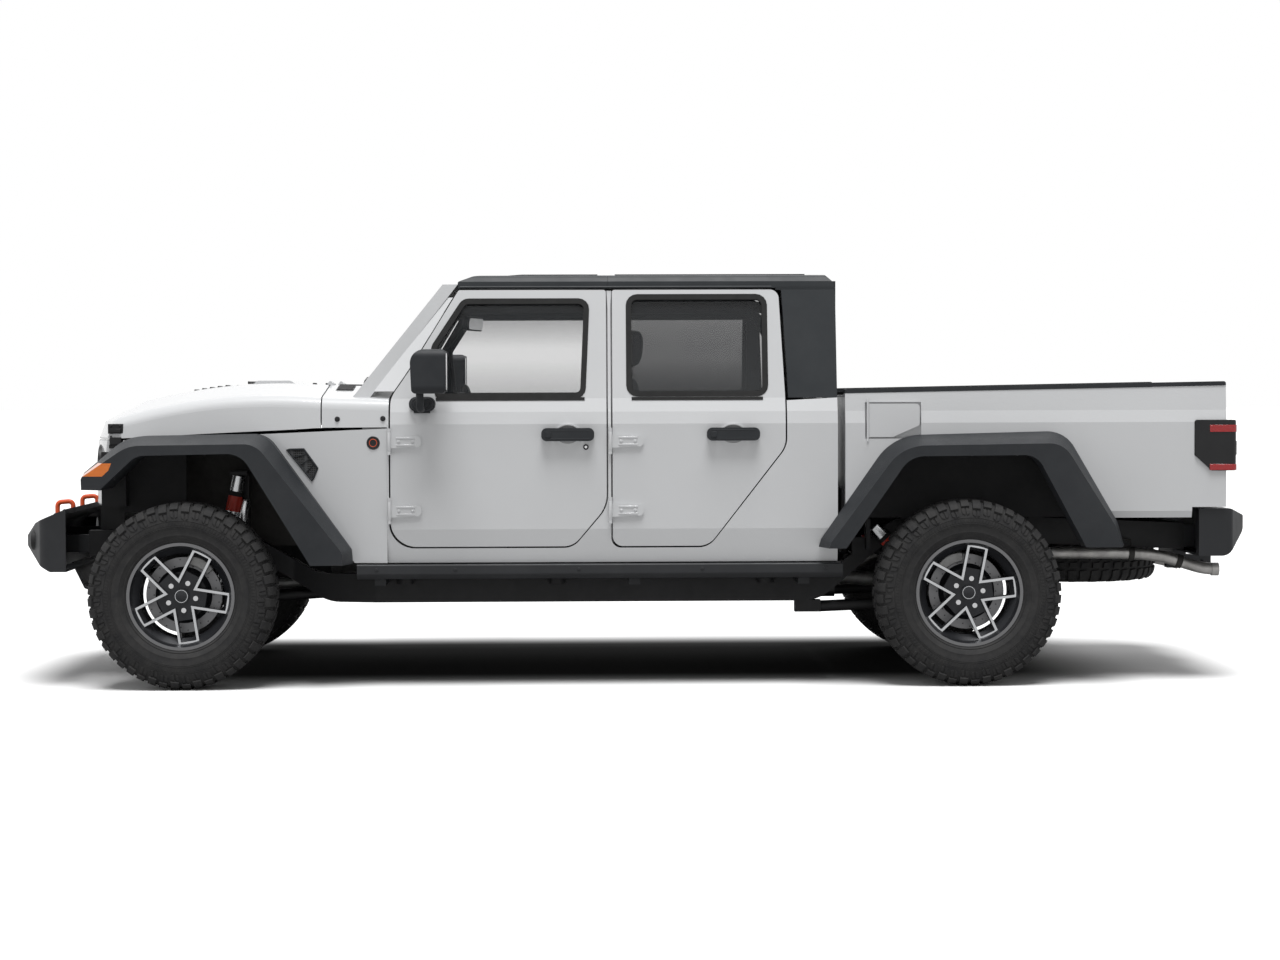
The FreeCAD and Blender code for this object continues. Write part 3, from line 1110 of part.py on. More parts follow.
def build_axles():
    a = axle
    w = wheel
    front, rear = w.frontAxle, w.frontAxle - w.base
    tube = cylinder("front_tube", a.tube, "Y", (-a.end, a.end), (front, a.height))
    ball = cylinder("front_ball", a.diff, "Y", (a.diffSide - 80, a.diffSide + 80), (front, a.height))
    ball_room = box("front_ball_room", (front - a.diff - 5, front + a.cover),
                    (0, a.diffSide + 100), (200, 600))
    snout = cylinder("front_snout", 50, "X", (front - a.snout, front), (a.diffSide, a.height))
    yoke = fork("front_yoke", front)
    brackets = [box("front_perch", (front - 60, front + 60), (342, 458), (444, 459.7)),
                box("front_link_foot", (front - 27.4, front + 20), (335, 385), (326, 400)),
                box("front_shock_foot", (1875, front - 20), (440, 505), (375, 393.7))]
    pieces = [tube, common("front_diff", ball, ball_room), snout, yoke,
              mirror("front_yoke_right", yoke)]
    for piece in brackets:
        pieces += [piece, mirror(piece.Name + "_right", piece)]
    keep("front_axle", joined("front_axle_all", *pieces))
    tube = cylinder("rear_tube", a.tube, "Y", (-700, 700), (rear, a.height))
    ball = cylinder("rear_ball", a.diff, "Y", (-90, 90), (rear, a.height))
    snout = cylinder("rear_snout", 55, "X", (rear, rear + a.snout), (0, a.height))
    end = w.track / 2 + w.face - w.dish
    stub = cylinder("rear_stub", w.bore - w.fit, "Y", (690, end), (rear, a.height))
    plate = cylinder("rear_brake_plate", 120, "Y", (690, 702), (rear, a.height))
    brackets = [box("rear_perch", (rear - 60, rear + 60), (400, 516), (444, 459.7)),
                box("rear_link_foot", (rear - 20, rear + 28.5), (435, 485), (316, 400)),
                box("rear_upper_foot", (rear - 20, rear + 16.5), (275, 325), (440, 545)),
                box("rear_shock_foot", (rear - 10, rear + 102), (512, 568), (332, 352)),
                box("rear_shock_web", (rear - 10, rear + 10), (512, 568), (332, 400))]
    pieces = [tube, ball, snout, stub, mirror("rear_stub_right", stub), plate,
              mirror("rear_brake_plate_right", plate)]
    for piece in brackets:
        pieces += [piece, mirror(piece.Name + "_right", piece)]
    keep("rear_axle", joined("rear_axle_all", *pieces))


def fork(name, x):
    # The C at the end of the front axle that carries the knuckle above and below
    s = steer
    back = box(name + "_back", (x - 40, x + 40), (axle.end - 20, axle.end + 15), (290, 540))
    top = box(name + "_top", (x - 30, x + 30), (axle.end, s.kingpin + 20), (515, 540))
    foot = box(name + "_foot", (x - 30, x + 30), (axle.end, s.kingpin + 20), (290, 315))
    return joined(name, back, top, foot)


def build_knuckles():
    s = steer
    x = wheel.frontAxle
    post = cylinder("knuckle_post", 30, "Z", (315 + s.fit, 515 - s.fit), (x, s.kingpin))
    spindle = cylinder("knuckle_spindle", wheel.bore - wheel.fit, "Y",
                       (s.kingpin, wheel.track / 2 + wheel.face - wheel.dish), (x, axle.height))
    rod_seat = s.rodHeight + s.eyeHalf + s.seat
    arm = box("knuckle_arm", (x, x + s.arm), (s.kingpin - 18, s.kingpin + 18),
              (rod_seat, rod_seat + s.armThick))
    eye = cylinder("knuckle_eye", 22, "Z", (rod_seat, rod_seat + s.armThick), (x + s.arm, s.kingpin))
    left = joined("knuckle_left_all", post, spindle, arm, eye)
    keep("knuckle_left", left)
    link_seat = s.linkHeight - s.eyeHalf - s.seat
    upper = box("link_arm", (x, x + s.arm + 18), (-s.kingpin - 18, -s.kingpin + 18),
                (link_seat - s.armThick, link_seat))
    keep("knuckle_right", joined("knuckle_right_all", mirror("knuckle_right_side", left), upper))
    tie = bar("tie_bar", s.rod, [(x + s.arm, s.kingpin, s.rodHeight),
                                 (x + s.arm, -s.kingpin, s.rodHeight)])
    tie_span = (s.rodHeight - s.eyeHalf, s.rodHeight + s.eyeHalf)
    keep("tie_rod", joined("tie_rod_all", tie, *[
        cylinder(f"tie_eye{sign}", s.eye, "Z", tie_span, (x + s.arm, s.kingpin * sign))
        for sign in (1, -1)]))
    box_x = x + s.boxAhead
    ends = [(x + s.arm, -s.kingpin), (box_x + s.arm, s.boxSide)]
    link_span = (s.linkHeight - s.eyeHalf, s.linkHeight + s.eyeHalf)
    link = bar("drag_bar", s.rod, [(*end, s.linkHeight) for end in ends])
    keep("drag_link", joined("drag_link_all", link, *[
        cylinder(f"drag_eye{index}", s.eye, "Z", link_span, end) for index, end in enumerate(ends)]))
    seat_high = link_span[1] + s.seat
    pitman_span = (seat_high, seat_high + s.pitmanThick)
    ends = [(box_x, s.boxSide), (box_x + s.arm, s.boxSide)]
    plate = box("pitman_plate", (box_x, box_x + s.arm), (s.boxSide - 16, s.boxSide + 16), pitman_span)
    keep("pitman_arm", joined("pitman_all", plate, *[
        cylinder(f"pitman_eye{index}", s.eye, "Z", pitman_span, end)
        for index, end in enumerate(ends)]))


def build_suspension():
    front = wheel.frontAxle
    rear = wheel.frontAxle - wheel.base
    links = [bar("front_lower_link", 24, [(front - 30, 360, 350), (1321, 300, 388)]),
             bar("rear_lower_link", 26, [(rear + 30, 460, 345), (-860, 460, 322)]),
             bar("rear_upper_link", 20, [(rear + 20, 300, 520), (-1000, 330, 590)])]
    keep("suspension_links", group("links_all", *[side for link in links for side in
                                                  (link, mirror(link.Name + "_right", link))]))
    springs = []
    for place, x, y, high in (("front", front, 400, rail.axleLow), ("rear", rear, 458, rail.rearLow)):
        coil = cylinder(place + "_coil", 56, "Z", (460, high - 0.3), (x, y))
        springs += [coil, mirror(place + "_coil_right", coil)]
    keep("coil_springs", group("springs_all", *springs))
    shocks = []
    for place, foot, head in (("front", (1905, 470, 400), (1800, 470, 930)),
                              ("rear", (-1405, 540, 375), (-1100, 540, 690))):
        foot, head = Vector(*foot), Vector(*head)
        waist = foot + (head - foot) * 0.42
        damper = joined(place + "_shock", bar(place + "_shock_rod", 13, [foot, head]),
                        bar(place + "_shock_body", 31, [waist, head]),
                        bar(place + "_shock_eye", 24, [foot, foot + (waist - foot) * 0.16]))
        shocks += [damper, mirror(place + "_shock_right", damper)]
    keep("shock_absorbers", group("shocks_all", *shocks))



# Wheels: tyre and rim are turned about the hub, spokes are repeated round it

def tyre_solid(name, x, y, z):
    w = wheel
    half = w.width / 2
    one_side = [(w.beadHalf, w.bead), (w.beadHalf, w.flange + 2), (half, w.sidewall, 60),
                (w.tread / 2 + 8, w.radius - 10, 18), (w.tread / 2 - 20, w.radius)]
    return turned(name, mirrored_corners(one_side), (x, y, z))


def rim_solid(name, x, y, z, phase):
    # The left-hand rim: its face looks towards +Y
    w = wheel
    f = w.flange
    b = w.beadHalf
    barrel = turned(name + "_barrel", [
        (-b - 10, f), (-b, f), (-b, w.bead - w.fit), (-b + 40, w.bead - w.fit), (-b + 70, w.barrel),
        (b - 40, w.barrel), (b - 20, w.bead - w.fit), (b, w.bead - w.fit), (b, f), (b + 10, f),
        (b + 10, f - 14), (b - 10, w.bead - 8), (b - 40, w.well), (-b + 60, w.well),
        (-b - 10, w.bead - 20)], (x, y, z))

    def round_part(part, radius, low, high, up=0, turn=0):
        angle = math.radians(turn)
        return cylinder(f"{name}_{part}", radius, "Y", (y + low, y + high),
                        (x + up * math.sin(angle), z + up * math.cos(angle)))

    def spoke_part(part, turn, foot, half, tip, low, high, corner):
        return prism(f"{name}_{part}", "XZ", [
            (-half, foot), (half, foot), (half, tip, corner), (-half, tip, corner)],
            (high, low), turn=turn, at=(x, y, z))

    face = w.dish + w.spokeDepth
    floor = face - w.pocket
    inside = w.spokeHalf - w.spokeEdge
    arms, hollows, nuts = [], [], []
    studs = int(w.studs.value)
    for index in range(studs):
        turn = index * 360 / studs + number_of(phase)
        arms.append(spoke_part(f"arm{index}", turn, w.hub / 2, w.spokeHalf, w.spokeTip, w.dish,
                               face, 8))
        hollows.append(spoke_part(f"pocket{index}", turn, 1, inside, w.spokeTip - w.spokeEdge,
                                  floor, face + 1, 5))
        hollows.append(spoke_part(f"window{index}", turn, w.windowFoot, inside - 2,
                                  w.spokeTip - w.spokeEdge - 2, w.dish - 1, face, 4))
        nuts.append(round_part(f"nut{index}", w.nut, floor - 2, floor + 12, w.studRing, turn))
    star = joined(name + "_star", round_part("hub", w.hub, w.discNear, face),
                  round_part("disc", w.disc, w.discNear, w.discNear + w.discThick), *arms)
    bore = round_part("bore", w.bore, w.discNear - 1, w.face - w.dish + w.endPlay)
    return joined(name, barrel, cut(name + "_open_star", star, *hollows, bore),
                  round_part("cap", w.cap, floor - 2, floor + 14), *nuts)


def build_wheels():
    w = wheel
    y = w.track / 2
    for place, x, phase in (("front", w.frontAxle, w.frontPhase),
                            ("rear", w.frontAxle - w.base, w.rearPhase)):
        tyre = tyre_solid(f"{place}_tyre_ring", x, y, w.radius)
        rim = rim_solid(f"{place}_rim", x, y, w.radius, phase)
        for node, part in (("tyre", tyre), ("rim", rim)):
            keep(f"{node}_{place}_left", part)
            keep(f"{node}_{place}_right", mirror(f"{node}_{place}_other", part))


def build_spare():
    s = spare
    w = wheel
    half = w.width / 2
    ring = cylinder("spare_ring", w.radius, "Z", (s.height - half, s.height + half), (s.centreX, 0))
    dish = cylinder("spare_dish", w.bead, "Z", (s.height - half - 1, s.height - 40), (s.centreX, 0))
    cup = cylinder("spare_cup", w.well, "Z", (s.height + 20, s.height + half + 1), (s.centreX, 0))
    keep("spare_wheel", cut("spare_all", ring, dish, cup))


# Engine, drive line, tank and exhaust

def build_drive():
    keep("engine_block", box("engine", (1420, 2130), (-290, 290), (600, 1100)))
    gearbox = cylinder("gearbox", 130, "X", (560, 1419.7), (0, 560))
    transfer = box("transfer_case", (360, 562), (-120, 290), (430, 560))
    rear = wheel.frontAxle - wheel.base
    flange_x = rear + axle.snout + 0.3
    rear_shaft = bar("rear_shaft", 38, [(362, 0, 500), (flange_x + 8, 0, 414)])
    rear_flange = cylinder("rear_shaft_flange", 52, "X", (flange_x, flange_x + 14), (0, 414))
    front_x = wheel.frontAxle - axle.snout - 0.3
    front_shaft = bar("front_shaft", 28, [(560, 240, 500), (front_x - 8, 240, 414)])
    front_flange = cylinder("front_shaft_flange", 44, "X", (front_x - 14, front_x), (240, 414))
    keep("drive_train", joined("drive_all", gearbox, transfer, rear_shaft, rear_flange,
                               front_shaft, front_flange))
    keep("fuel_tank", prism("tank", "YZ", [(70, 360, 40), (424.5, 360, 40), (424.5, 556, 40),
                                           (70, 556, 40)], (-930, -275)))
    pipe = bar("exhaust_pipe", 30, [(1500, -280, 520), (1300, -260, 470), (600, -250, 470),
                                    (-300, -250, 470)], 80)
    muffler = prism("muffler", "YZ", [(-150, 400, 50), (-400, 400, 50), (-400, 540, 50),
                                      (-150, 540, 50)], (-800, -280))
    hanger = box("muffler_hanger", (-560, -540), (-424.7, -395), (440, 470))
    tail = bar("tail_pipe", 30, [(-790, -240, 440), (-1050, -240, 440), (-1250, -200, 545),
                                 (-1560, -200, 560), (-1650, -300, 560), (-1730, -560, 560),
                                 (-2500, -575, 500), (-2757, -600, 440)], 60)
    keep("exhaust", joined("exhaust_all", pipe, muffler, hanger, tail))



# Inside the cab

def seat(name, x, y, half):
    base = prism(name + "_base", "XZ", [(x - 60, 640), (x + 470, 650), (x + 490, 860, 50),
                                        (x + 20, 830, 30)], (y + half, y - half))
    back = prism(name + "_back", "XZ", [(x - 40, 760, 30), (x + 90, 800, 30), (x - 80, 1400, 40),
                                        (x - 200, 1400, 40)], (y + half * 0.94, y - half * 0.94))
    head = prism(name + "_head", "XZ", [(x - 190, 1390, 20), (x - 90, 1390, 20),
                                        (x - 110, 1600, 40), (x - 210, 1600, 40)],
                 (y + half * 0.55, y - half * 0.55))
    foot = box(name + "_foot", (x + 20, x + 430), (y - half * 0.8, y + half * 0.8), (600, 660))
    return joined(name, base, back, head, foot)


def build_inside():
    front = seat("front_seat", 150, 374, 214)
    keep("front_seats", both_sides("front_seat_pair", front))
    bench = seat("bench", -620, 0, 560)
    keep("rear_bench", bench)
    dash = prism("dash_body", "XZ", [(1180, 900), (1180, 1225), (1000, 1250, 40), (880, 1180, 60),
                                     (900, 960, 60), (1000, 900, 40)], (680, -680))
    column = bar("steering_column", 26, [(960, 370, 1090), (760, 370, 1140)])
    keep("dashboard", joined("dashboard_all", dash, column))
    rim = doc.addObject("Part::Torus", "hand_wheel_rim")
    rim.Radius1 = 185
    rim.Radius2 = 15
    rim.Placement = Placement(Vector(725, 370, 1148.75), Rotation(Vector(0, 1, 0), -75.96))
    hub = bar("hand_wheel_hub", 45, [(759.7, 370, 1140), (715, 370, 1151.2)])
    spokes = [bar(f"hand_wheel_spoke{index}", 12, [
        (730, 370, 1147.5), (725 + 175 * math.cos(math.radians(angle)) * 0.2425,
                             370 + 175 * math.sin(math.radians(angle)),
                             1148.75 + 175 * math.cos(math.radians(angle)) * 0.9701)])
        for index, angle in enumerate((90, 180, 270))]
    keep("steering_wheel", joined("steering_wheel_all", rim, hub, *spokes))
    hoop = bar("cage_hoop", 28, [(60, 640, 600.3), (60, 640, 1180), (60, 585, 1690),
                                 (60, -585, 1690), (60, -640, 1180), (60, -640, 600.3)], 90)
    side = bar("cage_side", 26, [(849, 585, 1688), (-640, 585, 1690), (-832, 615, 1290)], 90)
    keep("roll_cage", joined("cage_all", hoop, side, mirror("cage_side_right", side)))


def build_all():
    skin = side_skin("side_skin", frontDoor.front + body.doorGap * 2, body.rear)
    build_doors(skin)
    build_cab(skin)
    build_fenders()
    build_hood()
    build_grille()
    build_flares()
    build_bed()
    build_top(skin)
    build_frame()
    build_bumpers()
    build_axles()
    build_knuckles()
    build_suspension()
    build_wheels()
    build_spare()
    build_drive()
    build_inside()


def check_and_write():
    doc.recompute()
    failed = []
    for thing in doc.Objects:
        if {"Invalid", "Error"} & set(thing.State):
            failed.append(f"{thing.Name}: {thing.State}")
    for thing in kept:
        shape = thing.Shape
        if shape.isNull() or not shape.isValid() or not shape.Solids:
            failed.append(f"{thing.Label}: no valid solid")
        else:
            print(f"{thing.Label}: {len(shape.Solids)} solids, {shape.Volume / 1e6:.1f} litres")
    if failed:
        raise RuntimeError("these failed: " + "; ".join(failed))
    os.makedirs("parts", exist_ok=True)
    for thing in kept:
        thing.Shape.exportStep(f"parts/{thing.Label}.step")


build_all()
check_and_write()
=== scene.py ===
import bpy
import bmesh
import json
import math
import random
from mathutils import Matrix, Vector
from mathutils.bvhtree import BVHTree
from mathutils.geometry import tessellate_polygon

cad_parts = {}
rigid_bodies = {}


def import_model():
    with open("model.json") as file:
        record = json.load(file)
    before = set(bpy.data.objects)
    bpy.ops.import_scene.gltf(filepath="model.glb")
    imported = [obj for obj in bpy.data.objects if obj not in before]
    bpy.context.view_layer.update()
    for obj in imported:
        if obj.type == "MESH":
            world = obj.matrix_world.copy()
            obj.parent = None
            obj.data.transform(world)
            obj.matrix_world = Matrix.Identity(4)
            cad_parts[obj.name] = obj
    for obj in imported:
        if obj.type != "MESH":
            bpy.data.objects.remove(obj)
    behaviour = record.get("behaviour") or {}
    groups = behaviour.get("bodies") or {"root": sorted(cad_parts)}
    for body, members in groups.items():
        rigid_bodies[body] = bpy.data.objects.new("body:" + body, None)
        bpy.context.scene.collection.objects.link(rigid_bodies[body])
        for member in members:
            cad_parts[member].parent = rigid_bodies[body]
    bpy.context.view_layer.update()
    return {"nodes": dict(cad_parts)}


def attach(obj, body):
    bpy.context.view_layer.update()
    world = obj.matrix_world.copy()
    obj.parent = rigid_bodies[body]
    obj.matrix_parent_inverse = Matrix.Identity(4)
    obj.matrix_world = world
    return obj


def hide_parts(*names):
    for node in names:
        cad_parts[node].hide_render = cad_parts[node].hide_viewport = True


# A lifted crew-cab pickup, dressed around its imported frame. Metres; +X forward, +Y left, +Z up.

for leftover in list(bpy.data.objects):
    bpy.data.objects.remove(leftover)
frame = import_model()
print("frame loaded:", len(frame["nodes"]), "nodes")


# Shader sums

class Wire:
    # One socket in a sum; numbers alone are worked out in Python
    def __init__(self, tree, socket):
        self.tree, self.socket = tree, socket

    def sum(self, operation, first, second):
        return addNode(self.tree, "ShaderNodeMath", {"operation": operation}, {0: first, 1: second})

    def __add__(self, other):
        return self.sum("ADD", self, other)

    def __sub__(self, other):
        return self.sum("SUBTRACT", self, other)

    def __rsub__(self, other):
        return self.sum("SUBTRACT", other, self)

    def __mul__(self, other):
        return self.sum("MULTIPLY", self, other)

    def __abs__(self):
        return self.sum("ABSOLUTE", self, 0.0)

    __radd__ = __add__
    __rmul__ = __mul__


def feed(tree, value, socket):
    if isinstance(value, Wire):
        tree.links.new(value.socket, socket)
    elif isinstance(value, (tuple, list)) and len(value) == 3 and socket.type == "RGBA":
        socket.default_value = (*value, 1)
    else:
        socket.default_value = value


def addNode(tree, kind, settings, inputs, output=0):
    # The one way a node is made: its settings first, then what its sockets get
    node = tree.nodes.new(kind)
    for key, value in settings.items():
        setattr(node, key, value)
    for key, value in inputs.items():
        feed(tree, value, node.inputs[key])
    return Wire(tree, node.outputs[output])


class Finish:
    # A material, its main shader and what is mixed into it
    words = {"colour": "Base Color", "rough": "Roughness", "metal": "Metallic", "coat": "Coat Weight",
             "coatRough": "Coat Roughness", "see": "Alpha", "through": "Transmission Weight", "ior": "IOR",
             "sheen": "Sheen Weight", "sheenRough": "Sheen Roughness", "specular": "Specular IOR Level",
             "normal": "Normal"}

    def __init__(self, name, **fixed):
        self.material = bpy.data.materials.new(name)
        self.material.use_nodes = True
        self.tree = self.material.node_tree
        self.shader = self.tree.nodes["Principled BSDF"]
        for key, value in fixed.items():
            self.set(key, value)
        self.place = self.node("ShaderNodeTexCoord", {}, {}, "Object")

    def set(self, key, value):
        feed(self.tree, value, self.shader.inputs[self.words[key]])

    def node(self, kind, settings, inputs, output=0):
        return addNode(self.tree, kind, settings, inputs, output)

    def noise(self, scale, detail, rough=0.5):
        return self.node("ShaderNodeTexNoise", {}, {
            "Vector": self.place, "Scale": scale, "Detail": detail, "Roughness": rough})

    def mask(self, value, low, high, curve="LINEAR"):
        return self.node("ShaderNodeMapRange", {"clamp": True, "interpolation_type": curve}, {
            "Value": value, "From Min": low, "From Max": high})

    def blend(self, factor, first, second, way="MIX"):
        return self.node("ShaderNodeMix", {"data_type": "RGBA", "blend_type": way}, {
            0: factor, 6: first, 7: second}, 2)

    def axis(self, letter):
        return self.node("ShaderNodeSeparateXYZ", {}, {0: self.place}, letter)

    def bump(self, height, strength, distance):
        self.set("normal", self.node("ShaderNodeBump", {}, {
            "Height": height, "Strength": strength, "Distance": distance}))


# Finishes

def toned(colour, share, lift=0.0):
    return tuple(part * share + lift for part in colour)


def clearCoat(name, colour, shade):
    # Body paint under a clear coat: a faint cloud, fine flake and orange peel
    paint = Finish(name, coat=1.0, coatRough=0.04, ior=1.5)
    cloud = paint.noise(1.7, 3)
    paint.set("colour", paint.blend(paint.mask(cloud, 0.35, 0.65), shade, colour))
    paint.set("rough", 0.30 + 0.06 * paint.noise(900, 1))
    paint.bump(paint.noise(260, 2), 0.04, 0.0004)
    return paint


def mouldedPlastic(name, colour, rough, grain, depth, wear):
    # Moulded plastic with its grain and slightly lighter patches
    plastic = Finish(name, specular=0.32)
    cloud = plastic.noise(5, 4, 0.6)
    plastic.set("colour", plastic.blend(plastic.mask(cloud, 0.3, 0.75), colour, toned(colour, 1, wear)))
    plastic.set("rough", rough + 0.14 * plastic.noise(14, 3) - 0.07)
    grainHeight = plastic.node("ShaderNodeTexVoronoi", {"feature": "SMOOTH_F1"}, {
        "Vector": plastic.place, "Scale": grain, "Smoothness": 0.6})
    plastic.bump(grainHeight, depth, 0.0006)
    return plastic


def coatedSteel(name, colour, rough, grain=420, depth=0.25, metal=0.0):
    # Powder coat: fine orange peel with dust in patches
    steel = Finish(name, specular=0.38, metal=metal)
    dust = steel.mask(steel.noise(3.3, 5, 0.65), 0.45, 0.8)
    steel.set("colour", steel.blend(dust, colour, toned(colour, 1.35, 0.006)))
    steel.set("rough", rough + 0.16 * steel.noise(21, 4))
    steel.bump(steel.noise(grain, 3, 0.6), depth, 0.0005)
    return steel


def castMetal(name, colour, rough, metal, grain=230):
    # Rough casting, stained in patches
    cast = Finish(name, metal=metal)
    stain = cast.mask(cast.noise(9, 5, 0.7), 0.35, 0.7)
    cast.set("colour", cast.blend(stain, toned(colour, 0.55), colour))
    cast.set("rough", rough + 0.2 * cast.noise(30, 3))
    cast.bump(cast.noise(grain, 4, 0.7), 0.45, 0.0009)
    return cast


def brightMetal(name, colour, rough):
    # Machined or polished metal with fine tool lines
    metal = Finish(name, metal=1.0)
    lines = metal.noise(600, 2, 0.5)
    metal.set("colour", metal.blend(lines, toned(colour, 0.86), colour))
    metal.set("rough", rough + 0.12 * metal.noise(35, 3) - 0.04)
    metal.bump(lines, 0.12, 0.0003)
    return metal


def rubber(name, colour, dusty):
    # Rubber with dust in patches
    look = Finish(name, specular=0.35)
    dust = look.mask(look.noise(16, 5, 0.7), 0.35, 0.8)
    look.set("colour", look.blend(dust, colour, dusty))
    look.set("rough", 0.72 + 0.16 * look.noise(40, 3))
    look.bump(look.noise(750, 3, 0.6), 0.3, 0.0005)
    return look


def pane(name, colour, top, middle, foot):
    # Tinted safety glass whose opacity goes from top to middle to foot by height
    glass = Finish(name, ior=1.5, specular=0.5)
    glass.set("colour", glass.blend(glass.noise(0.9, 1), colour, toned(colour, 0.8)))
    height = glass.axis("Z")
    upper = glass.mask(height, 1.52, 1.70)
    lower = glass.mask(height, 1.46, 1.28)
    glass.set("see", middle + (top - middle) * upper + (foot - middle) * lower)
    glass.set("rough", 0.03 * glass.noise(2, 1))
    return glass


def lens(name, colour, rough, through, ribs=0):
    # Moulded lamp lens; ribs are the fluting on its inside
    glass = Finish(name, through=through, ior=1.49, coat=0.4, coatRough=0.03)
    cloud = glass.noise(12, 2)
    glass.set("colour", glass.blend(cloud, colour, toned(colour, 0.93)))
    glass.set("rough", rough + 0.02 * cloud)
    if ribs:
        flute = glass.node("ShaderNodeTexWave", {"bands_direction": "Z"}, {
            "Vector": glass.place, "Scale": ribs, "Distortion": 0.0})
        glass.bump(flute, 0.5, 0.001)
    return glass


def wovenCloth(name, colour, thread):
    # Seat cloth: two crossing waves for the weave, with a soft sheen
    cloth = Finish(name, sheen=0.25, sheenRough=0.5, specular=0.2)
    weave = [cloth.node("ShaderNodeTexWave", {"bands_direction": way}, {
        "Vector": cloth.place, "Scale": 130, "Distortion": 0.6}) for way in ("X", "Z")]
    height = weave[0] * weave[1]
    cloth.set("colour", cloth.blend(height, colour, thread))
    cloth.set("rough", 0.82 + 0.1 * height)
    cloth.bump(height, 0.4, 0.0012)
    return cloth


def hide(name, colour):
    # Leather: pebbled grain and a worn sheen
    leather = Finish(name, specular=0.4)
    cells = leather.node("ShaderNodeTexVoronoi", {"feature": "DISTANCE_TO_EDGE"}, {
        "Vector": leather.place, "Scale": 330})
    leather.set("colour", leather.blend(leather.noise(8, 3), colour, toned(colour, 1.5)))
    leather.set("rough", 0.5 + 0.14 * leather.noise(25, 2))
    leather.bump(leather.mask(cells, 0.0, 0.25), 0.35, 0.0007)
    return leather


def meshScreen(name, wire, holeShade):
    # Black honeycomb behind an opening; the cells' middles are painted near-black, a painted shade for the
    # depth behind the net
    net = Finish(name)
    cells = net.node("ShaderNodeTexVoronoi", {"feature": "DISTANCE_TO_EDGE"}, {
        "Vector": net.place, "Scale": 105, "Randomness": 0.0})
    wall = net.mask(cells, 0.05, 0.2)
    net.set("colour", net.blend(wall, wire, holeShade))
    net.set("rough", 0.5 + 0.3 * wall)
    net.bump(1 - wall, 0.8, 0.003)
    return net


looks = {
    "bodyPaint": (clearCoat, (0.610, 0.618, 0.628), (0.585, 0.593, 0.603)),
    "flarePlastic": (mouldedPlastic, (0.013, 0.015, 0.018), 0.55, 900, 0.35, 0.012),
    "topShell": (mouldedPlastic, (0.014, 0.017, 0.020), 0.48, 650, 0.3, 0.010),
    "trimBlack": (mouldedPlastic, (0.009, 0.009, 0.010), 0.42, 700, 0.2, 0.006),
    "bedLining": (mouldedPlastic, (0.012, 0.012, 0.013), 0.75, 330, 0.5, 0.010),
    "dashSkin": (mouldedPlastic, (0.035, 0.035, 0.037), 0.62, 520, 0.5, 0.01),
    "bumperCoat": (coatedSteel, (0.011, 0.012, 0.014), 0.42),
    "frameCoat": (coatedSteel, (0.006, 0.006, 0.007), 0.5, 300, 0.4),
    "cageCoat": (coatedSteel, (0.035, 0.036, 0.038), 0.45, 500, 0.2),
    "hookPaint": (coatedSteel, (0.62, 0.085, 0.022), 0.34, 300, 0.15),
    "shockPaint": (coatedSteel, (0.50, 0.035, 0.018), 0.3, 300, 0.1),
    "castIron": (castMetal, (0.045, 0.043, 0.040), 0.55, 0.5),
    "castLight": (castMetal, (0.36, 0.36, 0.355), 0.42, 0.8),
    "discSteel": (brightMetal, (0.20, 0.20, 0.205), 0.38),
    "pipeSteel": (castMetal, (0.50, 0.49, 0.475), 0.34, 0.9, 400),
    "shockSilver": (brightMetal, (0.62, 0.63, 0.64), 0.24),
    "chrome": (brightMetal, (0.80, 0.80, 0.81), 0.10),
    # Grey for the disc behind each door handle: painted shade for its recess
    "cupPaint": (mouldedPlastic, (0.30, 0.304, 0.31), 0.4, 600, 0.1, 0.02),
    "rimBlack": (coatedSteel, (0.020, 0.021, 0.024), 0.22, 600, 0.08, 0.3),
    "rimCut": (brightMetal, (0.66, 0.67, 0.685), 0.22),
    "tyreRubber": (rubber, (0.016, 0.016, 0.017), (0.036, 0.035, 0.034)),
    "sealRubber": (rubber, (0.012, 0.012, 0.012), (0.02, 0.02, 0.02)),
    "frontPane": (pane, (0.05, 0.055, 0.06), 0.30, 0.10, 0.20),
    "rearPane": (pane, (0.03, 0.033, 0.036), 0.40, 0.46, 0.66),
    "lampLens": (lens, (0.96, 0.97, 0.98), 0.03, 1.0),
    "redLens": (lens, (0.42, 0.007, 0.010), 0.12, 0.15, 60),
    "amberLens": (lens, (0.80, 0.19, 0.008), 0.12, 0.12, 55),
    "lampBowl": (brightMetal, (0.70, 0.71, 0.72), 0.42),
    "seatCloth": (wovenCloth, (0.030, 0.030, 0.032), (0.055, 0.055, 0.058)),
    "wheelLeather": (hide, (0.022, 0.022, 0.023)),
    # The vent net's second colour is painted shade in the middles of its cells
    "ventMesh": (meshScreen, (0.05, 0.052, 0.055), (0.004, 0.004, 0.004)),
    "mirrorGlass": (brightMetal, (0.86, 0.87, 0.88), 0.05),
    "haloRing": (lens, (0.92, 0.93, 0.95), 0.25, 0.4),
    "screenFace": (mouldedPlastic, (0.010, 0.011, 0.013), 0.12, 60, 0.02, 0.004),
}
finishes = {}
for name, (maker, *values) in looks.items():
    finishes[name] = maker(name, *values)
print("finishes made:", len(finishes))


# Building helpers

